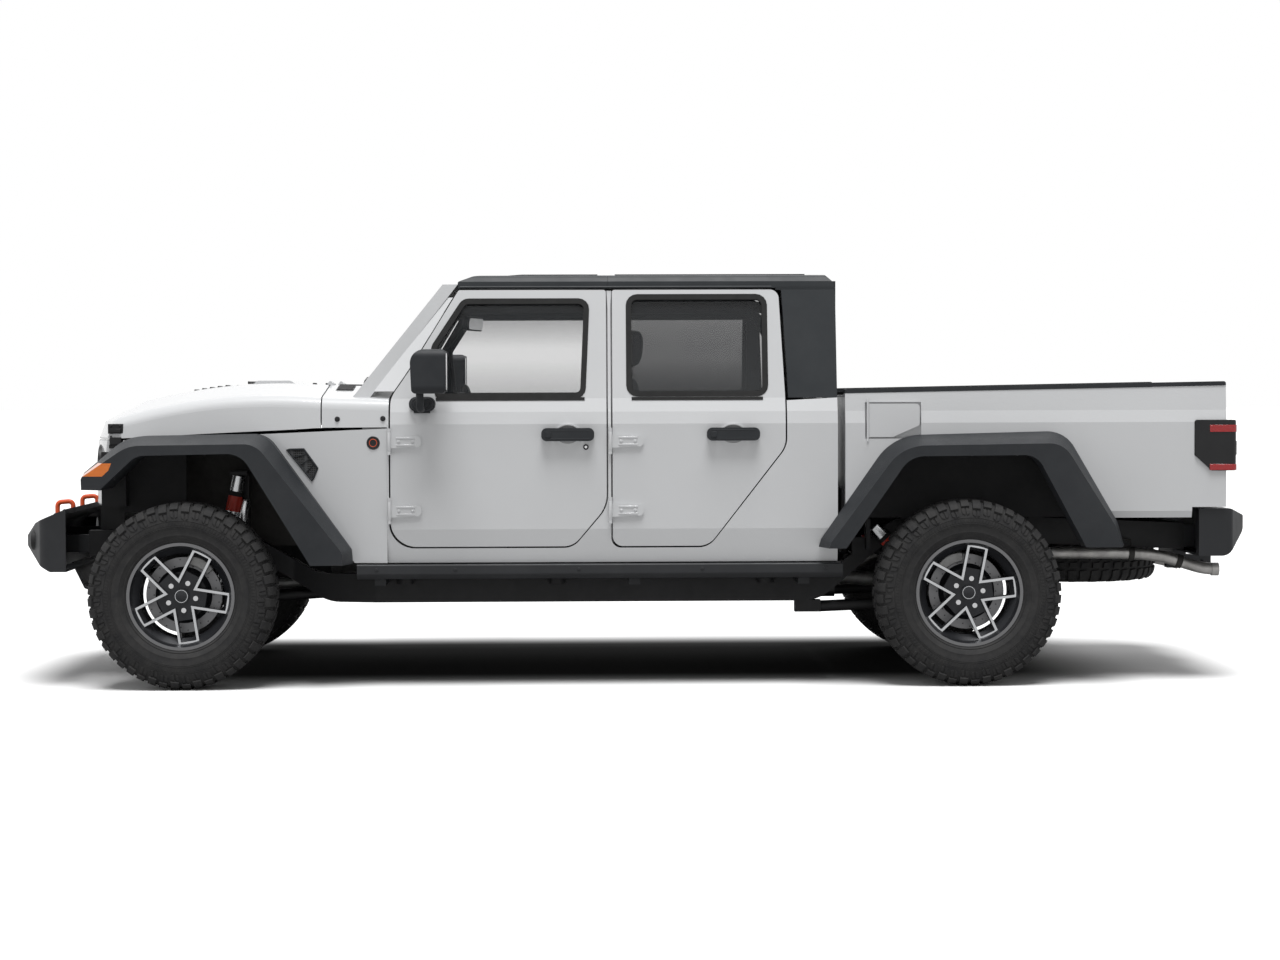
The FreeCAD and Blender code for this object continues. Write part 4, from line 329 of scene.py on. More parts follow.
class Shape:
    # Points and faces of one piece, in the frame's own metres
    def __init__(self):
        self.points, self.faces, self.tints = [], [], []

    def add(self, points, faces, tint=0, place=None):
        first = len(self.points)
        self.points += [place @ Vector(point) if place else Vector(point) for point in points]
        self.faces += [[first + index for index in face] for face in faces]
        self.tints += [tint] * len(faces)

    def prism(self, outline, low, high, place=None, tint=0, taper=1.0):
        # A flat outline in local XY, raised from low to high; taper shrinks its far end
        count = len(outline)
        middle = sum((Vector(corner) for corner in outline), Vector((0, 0))) / count
        points = [(*corner, low) for corner in outline]
        points += [(*(middle + (Vector(corner) - middle) * taper), high) for corner in outline]
        faces = [(i, (i + 1) % count, count + (i + 1) % count, count + i) for i in range(count)]
        if count < 5:
            caps = [tuple(range(count))]
        else:
            caps = tessellate_polygon([[Vector((*corner, 0)) for corner in outline]])
        for cap in caps:
            face = list(cap)
            a, b, c = (Vector(outline[index]) for index in face[:3])
            if (b - a).cross(c - a) > 0:
                face.reverse()
            faces.append(face)
            faces.append([count + index for index in reversed(face)])
        if turnOf(outline) < 0:
            faces[:count] = [tuple(reversed(face)) for face in faces[:count]]
        self.add(points, faces, tint, place)

    def box(self, low, high, tint=0, place=None):
        x, y = (low[0], high[0]), (low[1], high[1])
        self.prism([(x[0], y[0]), (x[1], y[0]), (x[1], y[1]), (x[0], y[1])], low[2], high[2], place, tint)

    def lathe(self, profile, steps, place=None, tint=0, closed=False):
        # A profile of (radius, height) turned about local Z; points on the axis become one point
        rings, points = [], []
        for radius, height in profile:
            if radius < 1e-6:
                rings.append([len(points)] * steps)
                points.append((0, 0, height))
                continue
            rings.append(list(range(len(points), len(points) + steps)))
            points += [(x, y, height) for x, y in circle(steps, radius)]
        faces = []
        pairs = list(zip(rings, rings[1:])) + ([(rings[-1], rings[0])] if closed else [])
        for lower, upper in pairs:
            for i in range(steps):
                j = (i + 1) % steps
                face = []
                for index in (lower[i], lower[j], upper[j], upper[i]):
                    if index not in face:
                        face.append(index)
                if len(face) > 2:
                    faces.append(face)
        self.add(points, faces, tint, place)

    def loft(self, rings, tint=0, place=None):
        # Rings of as many points each, joined in a row and closed at both ends
        count = len(rings[0])
        last = count * (len(rings) - 1)
        faces = [(a + i, a + (i + 1) % count, a + count + (i + 1) % count, a + count + i)
                 for a in range(0, last, count) for i in range(count)]
        faces += [tuple(range(count)), tuple(reversed(range(last, last + count)))]
        self.add([point for ring in rings for point in ring], faces, tint, place)

    def tube(self, path, radius, sides=10, tint=0, closed=False):
        # A round bar along a path, its rings turned with the path
        path = [Vector(point) for point in path]
        count = len(path)
        points, side = [], None
        for i, point in enumerate(path):
            ahead = path[(i + 1) % count] if closed or i < count - 1 else point
            behind = path[i - 1] if closed or i else point
            along = (ahead - behind).normalized()
            if side is None:
                side = along.orthogonal().normalized()
            side = (side - along * side.dot(along)).normalized()
            other = along.cross(side)
            size = radius[i] if isinstance(radius, (list, tuple)) else radius
            points += [point + size * (side * c + other * s) for c, s in circle(sides)]
        faces = []
        for i in range(count if closed else count - 1):
            for k in range(sides):
                a, b = i * sides, ((i + 1) % count) * sides
                faces.append((a + k, a + (k + 1) % sides, b + (k + 1) % sides, b + k))
        if not closed:
            faces += [tuple(reversed(range(sides))), tuple(range((count - 1) * sides, count * sides))]
        self.add(points, faces, tint)

    def bolt(self, point, direction, radius, height, tint=0, sides=6):
        # Bolt head: a flange and a hexagon or button on it
        place = facing(point, direction)
        self.lathe([(0, -0.001), (radius, -0.001), (radius, height * 0.35), (radius * 0.8, height * 0.5),
                    (0, height * 0.5)], 14, place, tint)
        self.prism(circle(sides, radius * 0.62), height * 0.4, height, place, tint, 0.9)

    def piece(self, name, body, slot, *looks, smooth=35, bevel=0.0):
        # Makes the object, its finish and what it rides on
        mesh = bpy.data.meshes.new(name)
        mesh.from_pydata([tuple(point) for point in self.points], [], self.faces)
        for look in looks:
            mesh.materials.append(finishes[look].material)
        for face, tint in zip(mesh.polygons, self.tints):
            face.material_index = tint
        net = bmesh.new()
        net.from_mesh(mesh)
        bmesh.ops.recalc_face_normals(net, faces=net.faces)
        net.to_mesh(mesh)
        net.free()
        thing = bpy.data.objects.new(name, mesh)
        bpy.context.scene.collection.objects.link(thing)
        if bevel:
            edge = thing.modifiers.new("edges", "BEVEL")
            edge.width, edge.segments, edge.limit_method = bevel, 2, "ANGLE"
            edge.angle_limit = math.radians(30)
        mesh.shade_smooth()
        if smooth < 180:
            mesh.set_sharp_from_angle(angle=math.radians(smooth))
        if body:
            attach(thing, body)
        return thing


def facing(point, direction):
    # A place whose local Z looks along direction and whose local Y is near up
    ahead = Vector(direction).normalized()
    across = Vector((0, 0, 1)).cross(ahead)
    if across.length < 1e-4:
        across = Vector((1, 0, 0)).cross(ahead)
    across.normalize()
    over = ahead.cross(across)
    turn = Matrix((across, over, ahead)).transposed().to_4x4()
    return Matrix.Translation(Vector(point)) @ turn


def rounded(half, tall, corner, steps=4):
    # Corners of a rounded rectangle about the origin
    outline = []
    for turn, (sx, sy) in enumerate(((1, 1), (-1, 1), (-1, -1), (1, -1))):
        for k in range(steps + 1):
            angle = math.radians(90 * turn + 90 * k / steps)
            outline.append((sx * (half - corner) + corner * math.cos(angle),
                            sy * (tall - corner) + corner * math.sin(angle)))
    return outline


def between(a, b, share):
    return a + (b - a) * share


def circle(steps, wide=1.0, tall=None):
    # Points of a circle, or of an oval where tall is given
    tall = wide if tall is None else tall
    turns = [k * 2 * math.pi / steps for k in range(steps)]
    return [(wide * math.cos(turn), tall * math.sin(turn)) for turn in turns]


def turnOf(outline):
    # Twice the outline's area, negative where it runs clockwise
    outline = list(outline)
    return sum(a[0] * b[1] - b[0] * a[1] for a, b in zip(outline, outline[1:] + outline[:1]))


# The frame's own nodes

def dressNodes():
    # One finish to each node, and body paint to those that aren't named here
    nodes = {
        "flarePlastic": ("front_flares", "rear_flares", "bed_caps", "mirror_left", "mirror_right"),
        "topShell": ("roof_front_panels", "roof_rear_shell"),
        "rearPane": ("fixed_glass", "glass_rear_left", "glass_rear_right"),
        "frontPane": ("glass_front_left", "glass_front_right"),
        "frameCoat": ("ladder_frame", "front_axle", "rear_axle", "tie_rod", "drag_link",
                      "suspension_links", "coil_springs"),
        "bumperCoat": ("rock_rails", "front_bumper", "rear_bumper"),
        "castIron": ("knuckle_left", "knuckle_right", "pitman_arm", "engine_block"),
        "castLight": ("drive_train",),
        "shockSilver": ("shock_absorbers",),
        "pipeSteel": ("exhaust",),
        "cageCoat": ("roll_cage",),
        "hookPaint": ("tow_hooks",),
        "rimBlack": ("rim_front_left", "rim_front_right", "rim_rear_left", "rim_rear_right"),
        "tyreRubber": ("tyre_front_left", "tyre_front_right", "tyre_rear_left", "tyre_rear_right",
                       "spare_wheel"),
        "trimBlack": ("fuel_tank", "tail_lamps"),
        "seatCloth": ("front_seats", "rear_bench"),
        "dashSkin": ("dashboard",),
        "wheelLeather": ("steering_wheel",),
        "amberLens": ("turn_signals",),
        "lampLens": ("head_lamps",),
    }
    chosen = {name: look for look, names in nodes.items() for name in names}
    for name, node in frame["nodes"].items():
        node.data.materials.clear()
        node.data.materials.append(finishes[chosen.get(name, "bodyPaint")].material)


def paintFaces(name, look, chosen):
    # Gives the faces that are chosen by their middle and normal another finish
    mesh = frame["nodes"][name].data
    mesh.materials.append(finishes[look].material)
    index = len(mesh.materials) - 1
    for face in mesh.polygons:
        if chosen(face.center, face.normal):
            face.material_index = index


dressNodes()
axleHeight = 0.414
wheelPlaces = {"front_left": (2.005, 0.8), "front_right": (2.005, -0.8),
               "rear_left": (-1.482, 0.8), "rear_right": (-1.482, -0.8)}


def dressRims():
    # Bright face, steel lip and disc, chrome nuts. Rings are reaches from the wheel's axis, and out
    # is measured from its middle plane
    rim = {"cut": (0.036, 0.2135), "cutOut": 0.088, "lip": (0.2235, 0.240), "disc": (0.072, 0.1685),
           "discOut": (-0.024, 0.0065), "stud": 0.0635, "nut": 0.0118, "nutOut": 0.073,
           "phase": {"front": 45, "rear": 61}}
    for corner, (x, y) in wheelPlaces.items():
        side = 1 if y > 0 else -1
        studs = []
        for index in range(5):
            turn = math.radians(index * 72 + rim["phase"][corner.split("_")[0]])
            studs.append(Vector((x + rim["stud"] * math.sin(turn),
                                 axleHeight + rim["stud"] * math.cos(turn))))

        def out(middle):
            return (middle.y - y) * side

        def within(middle, ring):
            low, high = rim[ring]
            return low < Vector((middle.x - x, middle.z - axleHeight)).length < high

        def cut(middle, normal):
            return out(middle) > rim["cutOut"] and normal.y * side > 0.8 and within(middle, "cut")

        def lip(middle, normal):
            return out(middle) > 0 and normal.y * side > 0.4 and within(middle, "lip")

        def nut(middle, normal):
            place = Vector((middle.x, middle.z))
            return out(middle) > rim["nutOut"] and min((place - stud).length for stud in studs) < rim["nut"]

        def disc(middle, normal):
            low, high = rim["discOut"]
            return low < out(middle) < high and within(middle, "disc")

        for look, chosen in (("rimCut", cut), ("discSteel", lip), ("chrome", nut), ("discSteel", disc)):
            paintFaces("rim_" + corner, look, chosen)


def dressDoors():
    # Handles black; the panels' inner sides in trim
    door = {"handles": {"front": (0.175, 0.42), "rear": (-0.56, -0.317)}, "handleFoot": 1.085,
            "handleTop": 1.157, "skin": 0.8085, "pocket": 0.812, "lining": 0.765, "edge": 0.74}

    def lining(middle, normal):
        inward = normal.y * middle.y < -0.0001
        edge = middle.z < 1.2 and abs(normal.y) < 0.3 and abs(middle.y) < door["edge"]
        return abs(middle.y) < door["lining"] and (inward or edge)

    for end, (rear, front) in door["handles"].items():
        def handle(middle, normal):
            floor = abs(normal.y) > 0.9 and abs(middle.y) < door["pocket"]
            return (rear < middle.x < front and door["handleFoot"] < middle.z < door["handleTop"]
                    and abs(middle.y) > door["skin"] and not floor)

        for side in ("left", "right"):
            paintFaces(f"door_{end}_{side}", "dashSkin", lining)
            paintFaces(f"door_{end}_{side}", "flarePlastic", handle)


dressRims()
dressDoors()


def dressArches():
    # The insides of the wheel openings and the nose below the lamps are black
    def apron(middle, normal):
        skin = 0.802 - 0.180 * max(0, middle.x - 1.094) / 1.206
        return abs(middle.y) < skin - 0.020 and middle.z < 1.16 or middle.y * normal.y < -0.3 * abs(middle.y)

    def bedUnder(middle, normal):
        inArch = -1.99 < middle.x < -0.96 and abs(middle.y) < 0.74 and middle.z < 1.12
        return (middle.z < 0.872 and (abs(middle.y) < 0.745 or normal.z < -0.5)
                or inArch and (normal.z < -0.3 or middle.y * normal.y > 0.3 * abs(middle.y))
                or abs(middle.y) < 0.70 and normal.z < -0.5)

    def bedInside(middle, normal):
        return abs(middle.y) < 0.7225 and -2.64 < middle.x < -1.00 and middle.z > 0.874 and middle.z < 1.31

    paintFaces("bed_box", "bedLining", bedInside)
    paintFaces("front_fenders", "bedLining", apron)
    paintFaces("bed_box", "bedLining", bedUnder)
    paintFaces("grille_panel", "trimBlack", lambda middle, normal: (
        middle.z < 0.955 and abs(normal.y) > 0.6 or normal.x < -0.3))


dressArches()
print("nodes dressed")


# Tyres

# Blocks, sidewall bites and bars each have a height and how much they narrow towards it. The section
# is half of the carcass from the bead to the crown, as (radius, across)
tyre = {"radius": 0.4135, "pitches": 48, "steps": 96, "jitter": 0.002,
        "block": (0.0105, 0.0022), "bite": (0.0036, 0.001), "bar": (0.0018, 0.0006),
        "beads": (0.1790, 0.2060, 0.2120),
        "section": [(0.222, 0.100), (0.232, 0.106), (0.240, 0.112), (0.246, 0.1195), (0.2485, 0.1215),
                    (0.252, 0.1205), (0.258, 0.1255), (0.268, 0.1305), (0.2725, 0.1335), (0.276, 0.1328),
                    (0.290, 0.1365), (0.308, 0.1388), (0.326, 0.1392), (0.342, 0.1375), (0.358, 0.1340),
                    (0.373, 0.1288), (0.386, 0.1220), (0.395, 0.1120), (0.4005, 0.1000), (0.4025, 0.0820),
                    (0.4032, 0.0500), (0.4035, 0.0200), (0.4035, 0.0)]}


def alongSection(run, lift):
    # The point that lies run metres from the crown along the section, lifted off it
    crown = tyre["section"][::-1]
    left = abs(run)
    side = 1 if run >= 0 else -1
    for (r0, y0), (r1, y1) in zip(crown, crown[1:]):
        step = math.hypot(r1 - r0, y1 - y0)
        if left <= step or (r1, y1) == crown[-1]:
            share = left / step
            outward = Vector((y1 - y0, -(r1 - r0))) / step
            return (between(r0, r1, share) + lift * outward[0],
                    side * (between(y0, y1, share) + lift * outward[1]))
        left -= step


def addBlock(shape, place, spin, side, corners, rows, lift, shrink):
    # A tread block over four corners (metres round the tyre, metres from the crown)
    corners = [(s * side, t * side) for s, t in corners]
    points, faces = [], []
    for level, narrower in ((-0.002, 0.0), (lift, shrink)):
        for row in range(rows + 1):
            share = row / rows
            for a, b in ((0, 3), (1, 2)):
                s = between(corners[a][0], corners[b][0], share)
                t = between(corners[a][1], corners[b][1], share)
                s -= math.copysign(narrower, s - sum(c[0] for c in corners) / 4)
                if row in (0, rows):
                    t -= math.copysign(narrower, t - sum(c[1] for c in corners) / 4)
                r, y = alongSection(t, level)
                angle = spin + s / tyre["radius"]
                points.append((r * math.cos(angle), r * math.sin(angle), y))
    top = 2 * (rows + 1)
    for row in range(rows):
        i = top + 2 * row
        faces.append((i, i + 1, i + 3, i + 2))
        for edge in (0, 1):
            j = 2 * row + edge
            faces.append((j, j + 2, top + j + 2, top + j))
    last = 2 * rows
    faces += [(0, 1, top + 1, top), (last, last + 1, top + last + 1, top + last)]
    shape.add(points, faces, 0, place)


def makeTyre(name, body, centre, axis, replaced, seed):
    draw = random.Random(seed)
    shape = Shape()
    place = facing(centre, axis)
    half, steps = tyre["section"], tyre["steps"]
    shape.lathe([(r, -y) for r, y in half] + half[-2::-1], steps, place)
    shape.lathe([(0.222, 0.100), (0.216, 0.100), (0.216, 0.0), (0.216, -0.100), (0.222, -0.100)], steps,
                place)
    for run in tyre["beads"]:
        for side in (1, -1):
            r, y = alongSection(run * side, 0.0)
            shape.lathe([(r - 0.0016, y - 0.001 * side), (r, y + 0.0017 * side),
                         (r + 0.0016, y - 0.001 * side)], steps, place, 0, closed=True)
    pitch = 2 * math.pi / tyre["pitches"]
    for index in range(tyre["pitches"]):
        spin = index * 2 * math.pi / tyre["pitches"] + draw.uniform(-tyre["jitter"], tyre["jitter"])
        foot, low = (0.142, 0.176) if index % 2 else (0.131, 0.168)
        blocks = [
            # Shoulder block, which runs down over the edge
            ("block", 5, ((0.006, 0.078), (0.044, 0.082), (0.046, foot), (0.004, foot))),
            # Two inner blocks with a stepped channel between them
            ("block", 1, ((-0.002, 0.041), (0.036, 0.046), (0.040, 0.072), (0.001, 0.068))),
            ("block", 1, ((0.012, 0.006), (0.047, 0.002), (0.050, 0.037), (0.016, 0.034))),
            # Sidewall bites below the shoulder
            ("bite", 3, ((0.010, foot + 0.006), (0.024, foot + 0.003), (0.020, low), (0.006, low - 0.006))),
            ("bite", 3, ((0.030, foot + 0.003), (0.047, foot + 0.006), (0.043, low - 0.008), (0.026, low))),
        ]
        for side, shift in ((1, 0.0), (-1, pitch / 2)):
            for kind, rows, corners in blocks:
                addBlock(shape, place, spin + shift, side, corners, rows, *tyre[kind])
        # Raised bars round the middle of each sidewall
        for side in (1, -1):
            for step in (0.0, 0.018, 0.036):
                corners = ((0.002 + step, 0.1835), (0.012 + step, 0.1835), (0.017 + step, 0.2000),
                           (0.007 + step, 0.2000))
                addBlock(shape, place, spin, side, corners, 1, *tyre["bar"])
    thing = shape.piece(name, body, "tyre", "tyreRubber", smooth=38)
    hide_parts(replaced)


for number, (corner, (x, y)) in enumerate(wheelPlaces.items()):
    makeTyre("tread_" + corner, f"wheel_{corner}_body", (x, y, axleHeight), (0, 1 if y > 0 else -1, 0),
             "tyre_" + corner, number + 3)
print("tyres made")


# Suspension

def makeSprings():
    coils = {"wire": 0.0078, "turns": 6.2, "radius": 0.050, "perTurn": 14,
             "places": [(2.005, 0.400, 0.460, 0.560), (2.005, -0.400, 0.460, 0.560),
                        (-1.482, 0.458, 0.460, 0.610), (-1.482, -0.458, 0.460, 0.610)]}
    shape = Shape()
    for x, y, low, high in coils["places"]:
        count = int(coils["turns"] * coils["perTurn"])
        path = []
        for k in range(count + 1):
            turn = k / coils["perTurn"] * 2 * math.pi
            share = k / count
            rise = share * share * (3 - 2 * share) * 0.3 + share * 0.7
            path.append((x + coils["radius"] * math.cos(turn), y + coils["radius"] * math.sin(turn),
                         between(low + coils["wire"], high - coils["wire"], rise)))
        shape.tube(path, coils["wire"], 8)
        for height, lift in ((low, 0.006), (high, -0.006)):
            shape.lathe([(0.020, height), (0.054, height), (0.054, height + lift), (0.020, height + lift)],
                        28, Matrix.Translation((x, y, 0)), closed=True)
    coil = shape.piece("coilSprings", "truck", "black_steel", "frameCoat")
    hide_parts("coil_springs")


makeSprings()


# Places on the frame's own surfaces

surfaces = {}


def surfaceOf(node):
    if node not in surfaces:
        mesh = frame["nodes"][node].data
        surfaces[node] = BVHTree.FromPolygons([point.co.copy() for point in mesh.vertices],
                                              [tuple(face.vertices) for face in mesh.polygons])
    return surfaces[node]


def strike(node, start, way):
    # Where a line from start meets the node, and the way its surface faces
    point, normal = surfaceOf(node).ray_cast(Vector(start), Vector(way))[:2]
    if point is None:
        raise ValueError(f"no surface of {node} from {start}")
    return point, normal


def fromSide(x, z, side=1):
    return (x, 1.2 * side, z), (0, -side, 0)


def fromTop(x, y):
    return (x, y, 2.2), (0, 0, -1)


def onSide(node, x, z, side=1):
    return strike(node, *fromSide(x, z, side))


def onTop(node, x, y):
    return strike(node, *fromTop(x, y))


def layer(shape, node, corners, steps, cast, lift, tint=0, sunk=0.001):
    # A thin skin that follows the node between four corners; cast turns two numbers into start and way
    across, along = steps
    points = []
    for depth in (lift, -sunk):
        for i in range(across + 1):
            for j in range(along + 1):
                low = between(Vector(corners[0]), Vector(corners[1]), i / across)
                high = between(Vector(corners[3]), Vector(corners[2]), i / across)
                start, way = cast(*between(low, high, j / along))
                point, normal = strike(node, start, way)
                if normal.dot(Vector(way)) > 0:
                    normal = -normal
                points.append(point + normal * depth)
    row = along + 1
    under = (across + 1) * row
    faces = []
    for i in range(across):
        for j in range(along):
            a = i * row + j
            faces.append((a, a + 1, a + row + 1, a + row))
            faces.append((under + a, under + a + row, under + a + row + 1, under + a + 1))
    for i in range(across):
        for a in (i * row, i * row + along):
            faces.append((a, a + row, under + a + row, under + a))
    for j in range(along):
        for a in (j, across * row + j):
            faces.append((a, a + 1, under + a + 1, under + a))
    shape.add(points, faces, tint)


def mirrored(shape):
    other = Shape()
    other.points = [Vector((point.x, -point.y, point.z)) for point in shape.points]
    other.faces = [list(face) for face in shape.faces]
    other.tints = list(shape.tints)
    return other


def handed(shape, side):
    # Shapes are made on the left; the right side's is a mirror image
    return shape if side == "left" else mirrored(shape)


def doubled(shape):
    other = mirrored(shape)
    first = len(shape.points)
    shape.points += other.points
    shape.faces += [[first + index for index in face] for face in other.faces]
    shape.tints += other.tints
    return shape


def inset(corners, depth):
    # A convex outline with every edge moved inwards
    count = len(corners)
    spin = turnOf(corners)
    lines = []
    for a, b in zip(corners, corners[1:] + corners[:1]):
        along = (Vector(b) - Vector(a)).normalized()
        inward = Vector((-along.y, along.x)) * (1 if spin > 0 else -1)
        lines.append((Vector(a) + inward * depth, along))
    moved = []
    for i in range(count):
        p, d = lines[i - 1]
        q, e = lines[i]
        share = (q - p).cross(e) / d.cross(e)
        moved.append(tuple(p + d * share))
    return moved


def softened(corners, radii, steps=4):
    # Rounds each corner of an outline
    outline = []
    count = len(corners)
    for i, corner in enumerate(corners):
        here = Vector(corner)
        back = (Vector(corners[i - 1]) - here)
        on = (Vector(corners[(i + 1) % count]) - here)
        half = back.angle(on) / 2
        reach = radii[i] / math.tan(half)
        middle = here + (back.normalized() + on.normalized()).normalized() * (radii[i] / math.sin(half))
        start = here + back.normalized() * reach - middle
        end = here + on.normalized() * reach - middle
        sweep = math.atan2(start.cross(end), start.dot(end))
        for k in range(steps + 1):
            turn = sweep * k / steps
            outline.append((middle.x + start.x * math.cos(turn) - start.y * math.sin(turn),
                            middle.y + start.x * math.sin(turn) + start.y * math.cos(turn)))
    return outline


def band(shape, outer, inner, low, high, place=None, tint=0):
    # A flat frame between two outlines of as many corners
    count = len(outer)
    points = [(*corner, level) for level in (low, high) for line in (outer, inner) for corner in line]
    faces = []
    for i in range(count):
        j = (i + 1) % count
        faces += [(i, j, count + j, count + i), (2 * count + i, 3 * count + i, 3 * count + j, 2 * count + j),
                  (i, 2 * count + i, 2 * count + j, j),
                  (count + i, count + j, 3 * count + j, 3 * count + i)]
    shape.add(points, faces, tint, place)


# Doors, glass and mirrors

def makeDoorTrim():
    # Pane seals, hinge leaves and handles; inside each handle's ring a grey disc is painted shade for its
    # recess
    seal = {"wide": 0.021, "over": 0.004, "out": 0.0022, "deep": 0.016, "foot": 1.282, "side": 0.772,
            "lean": math.atan2(0.098, 0.486)}
    panes = {
        "front": ([(-0.222, 1.284), (-0.202, 1.726), (-0.765, 1.726), (-0.905, 1.512), (-0.884, 1.284)],
                  [0.045, 0.045, 0.045, 0.060, 0.025]),
        "rear": ([(-0.032, 1.292), (-0.032, 1.744), (0.595, 1.744), (0.595, 1.292)], [0.047] * 4),
    }
    # Each hinge: the door's leading edge and how far the pin stands before it
    hinges = {"front": (1.087, 0.004), "rear": (0.098, 0.010), "heights": (1.092, 0.784), "out": 0.816,
              "pinOut": 0.818}
    grips = {"front": (0.180, 0.415), "rear": (-0.557, -0.322), "height": 1.121, "bars": 0.8440,
             "button": 0.8452, "cup": (0.060, 0.047), "cupIn": (0.054, 0.041), "lock": (0.217, 1.065)}
    outward = (0, 1, 0)
    lean = seal["lean"]
    place = Matrix.Translation((0, seal["side"], seal["foot"])) @ Matrix((
        (-1, 0, 0), (0, -math.sin(lean), math.cos(lean)), (0, math.cos(lean), math.sin(lean))
    )).transposed().to_4x4()
    for end, (corners, radii) in panes.items():
        flat = [(x, (z - seal["foot"]) / math.cos(lean)) for x, z in corners]
        outer = softened(inset(flat, -seal["over"]), [radius + seal["over"] for radius in radii])
        inner = softened(inset(flat, seal["wide"]), [max(0.006, radius - seal["wide"]) for radius in radii])
        trim = Shape()
        band(trim, outer, inner, -seal["deep"], seal["out"], place)
        # Belt strip along the foot of the pane
        low, high = min(corners)[0], max(corners)[0]
        trim.box((low + 0.02, -0.010, -0.004), (high - 0.02, 0.004, 0.0045), 0, place)

        hinge = Shape()
        edge, ahead = hinges[end]
        for height in hinges["heights"]:
            for rise in (-0.016, 0.016):
                hinge.prism([(-0.052, -0.0035), (0.040, -0.0055), (0.040, 0.0055), (-0.052, 0.0035)], -0.001,
                            0.0035, facing((edge - 0.075, hinges["out"], height + rise), outward), 0, 0.82)
            for along in (0.038, 0.100):
                hinge.bolt((edge - along, hinges["out"], height), outward, 0.0085, 0.005)
            hinge.tube([(edge + ahead, hinges["pinOut"], height + rise) for rise in (-0.040, 0.040)],
                       0.0088, 12)

        grip = Shape()
        rear, front = grips[end]
        middle, height = (rear + front) / 2, grips["height"]
        skin = onSide(f"door_{end}_left", middle, 1.060)[0].y
        cup = facing((middle, skin, height), outward)
        ringIn = circle(28, *grips["cupIn"])
        band(grip, circle(28, *grips["cup"]), ringIn, -0.003, 0.0075, cup, 1)
        # A grey disc inside the ring: painted shade where the handle's recess lies
        grip.prism(ringIn, -0.002, 0.0012, cup, 3)
        grip.prism(softened([(-0.014, -0.014), (0.014, -0.014), (0.014, 0.014), (-0.014, 0.014)],
                            [0.006] * 4),
                   0, 0.0035, facing((front - 0.030, grips["button"], height), outward), 0, 0.9)
        for rise in (-0.019, 0.019):
            grip.tube([(x, grips["bars"], height + rise) for x in (rear + 0.02, front - 0.02)], 0.0022, 6)
        if end == "front":
            lock = facing((grips["lock"][0], skin, grips["lock"][1]), outward)
            grip.lathe([(0, 0.0), (0.0125, 0.0), (0.0125, 0.003), (0.0105, 0.0045), (0.0085, 0.003),
                        (0, 0.0025)], 20, lock, 0)
            grip.lathe([(0, 0.002), (0.0062, 0.002), (0.0062, 0.0038), (0, 0.0038)], 14, lock, 2)
        for side in ("left", "right"):
            body = f"door_{end}_{side}_body"
            handed(trim, side).piece(f"paneSeal_{end}_{side}", body, "black_plastic", "sealRubber", smooth=40)
            handed(hinge, side).piece(f"hingeTrim_{end}_{side}", body, "body_paint", "bodyPaint",
                                      bevel=0.0008)
            handed(grip, side).piece(f"handleTrim_{end}_{side}", body, "black_plastic", "flarePlastic",
                                     "bodyPaint", "chrome", "cupPaint", bevel=0.0005)


def makeMirrors():
    head = {"at": (0.830, 0.956, 1.402), "half": 0.080, "tall": 0.082, "foot": (0.060, 0.033, 0.032),
            "steps": ((1.0, -0.004, 0.020), (0.86, 0.020, 0.034), (0.62, 0.034, 0.042))}
    half, tall = head["half"], head["tall"]
    trim = Shape()
    place = facing(head["at"], (-1, 0, 0))
    trim.prism(rounded(half, tall, 0.020, 4), 0.0, 0.0028, place, 0)
    band(trim, rounded(half + 0.007, tall + 0.007, 0.025, 4), rounded(half - 0.001, tall - 0.001, 0.019, 4),
         -0.001, 0.0045, place, 1)
    # Oval foot cap on the door, in steps
    skin = onSide("door_front_left", 0.945, 1.190)[0].y
    for share, low, high in head["steps"]:
        trim.prism(rounded(*[size * share for size in head["foot"]], 5), low, high,
                   facing((0.944, skin, 1.258), (0, 1, 0)), 1, 0.93)
    for side in ("left", "right"):
        handed(trim, side).piece("mirrorTrim_" + side, f"door_front_{side}_body", "black_plastic",
                                 "mirrorGlass", "flarePlastic", bevel=0.0006)


# Fenders, hood and lamps

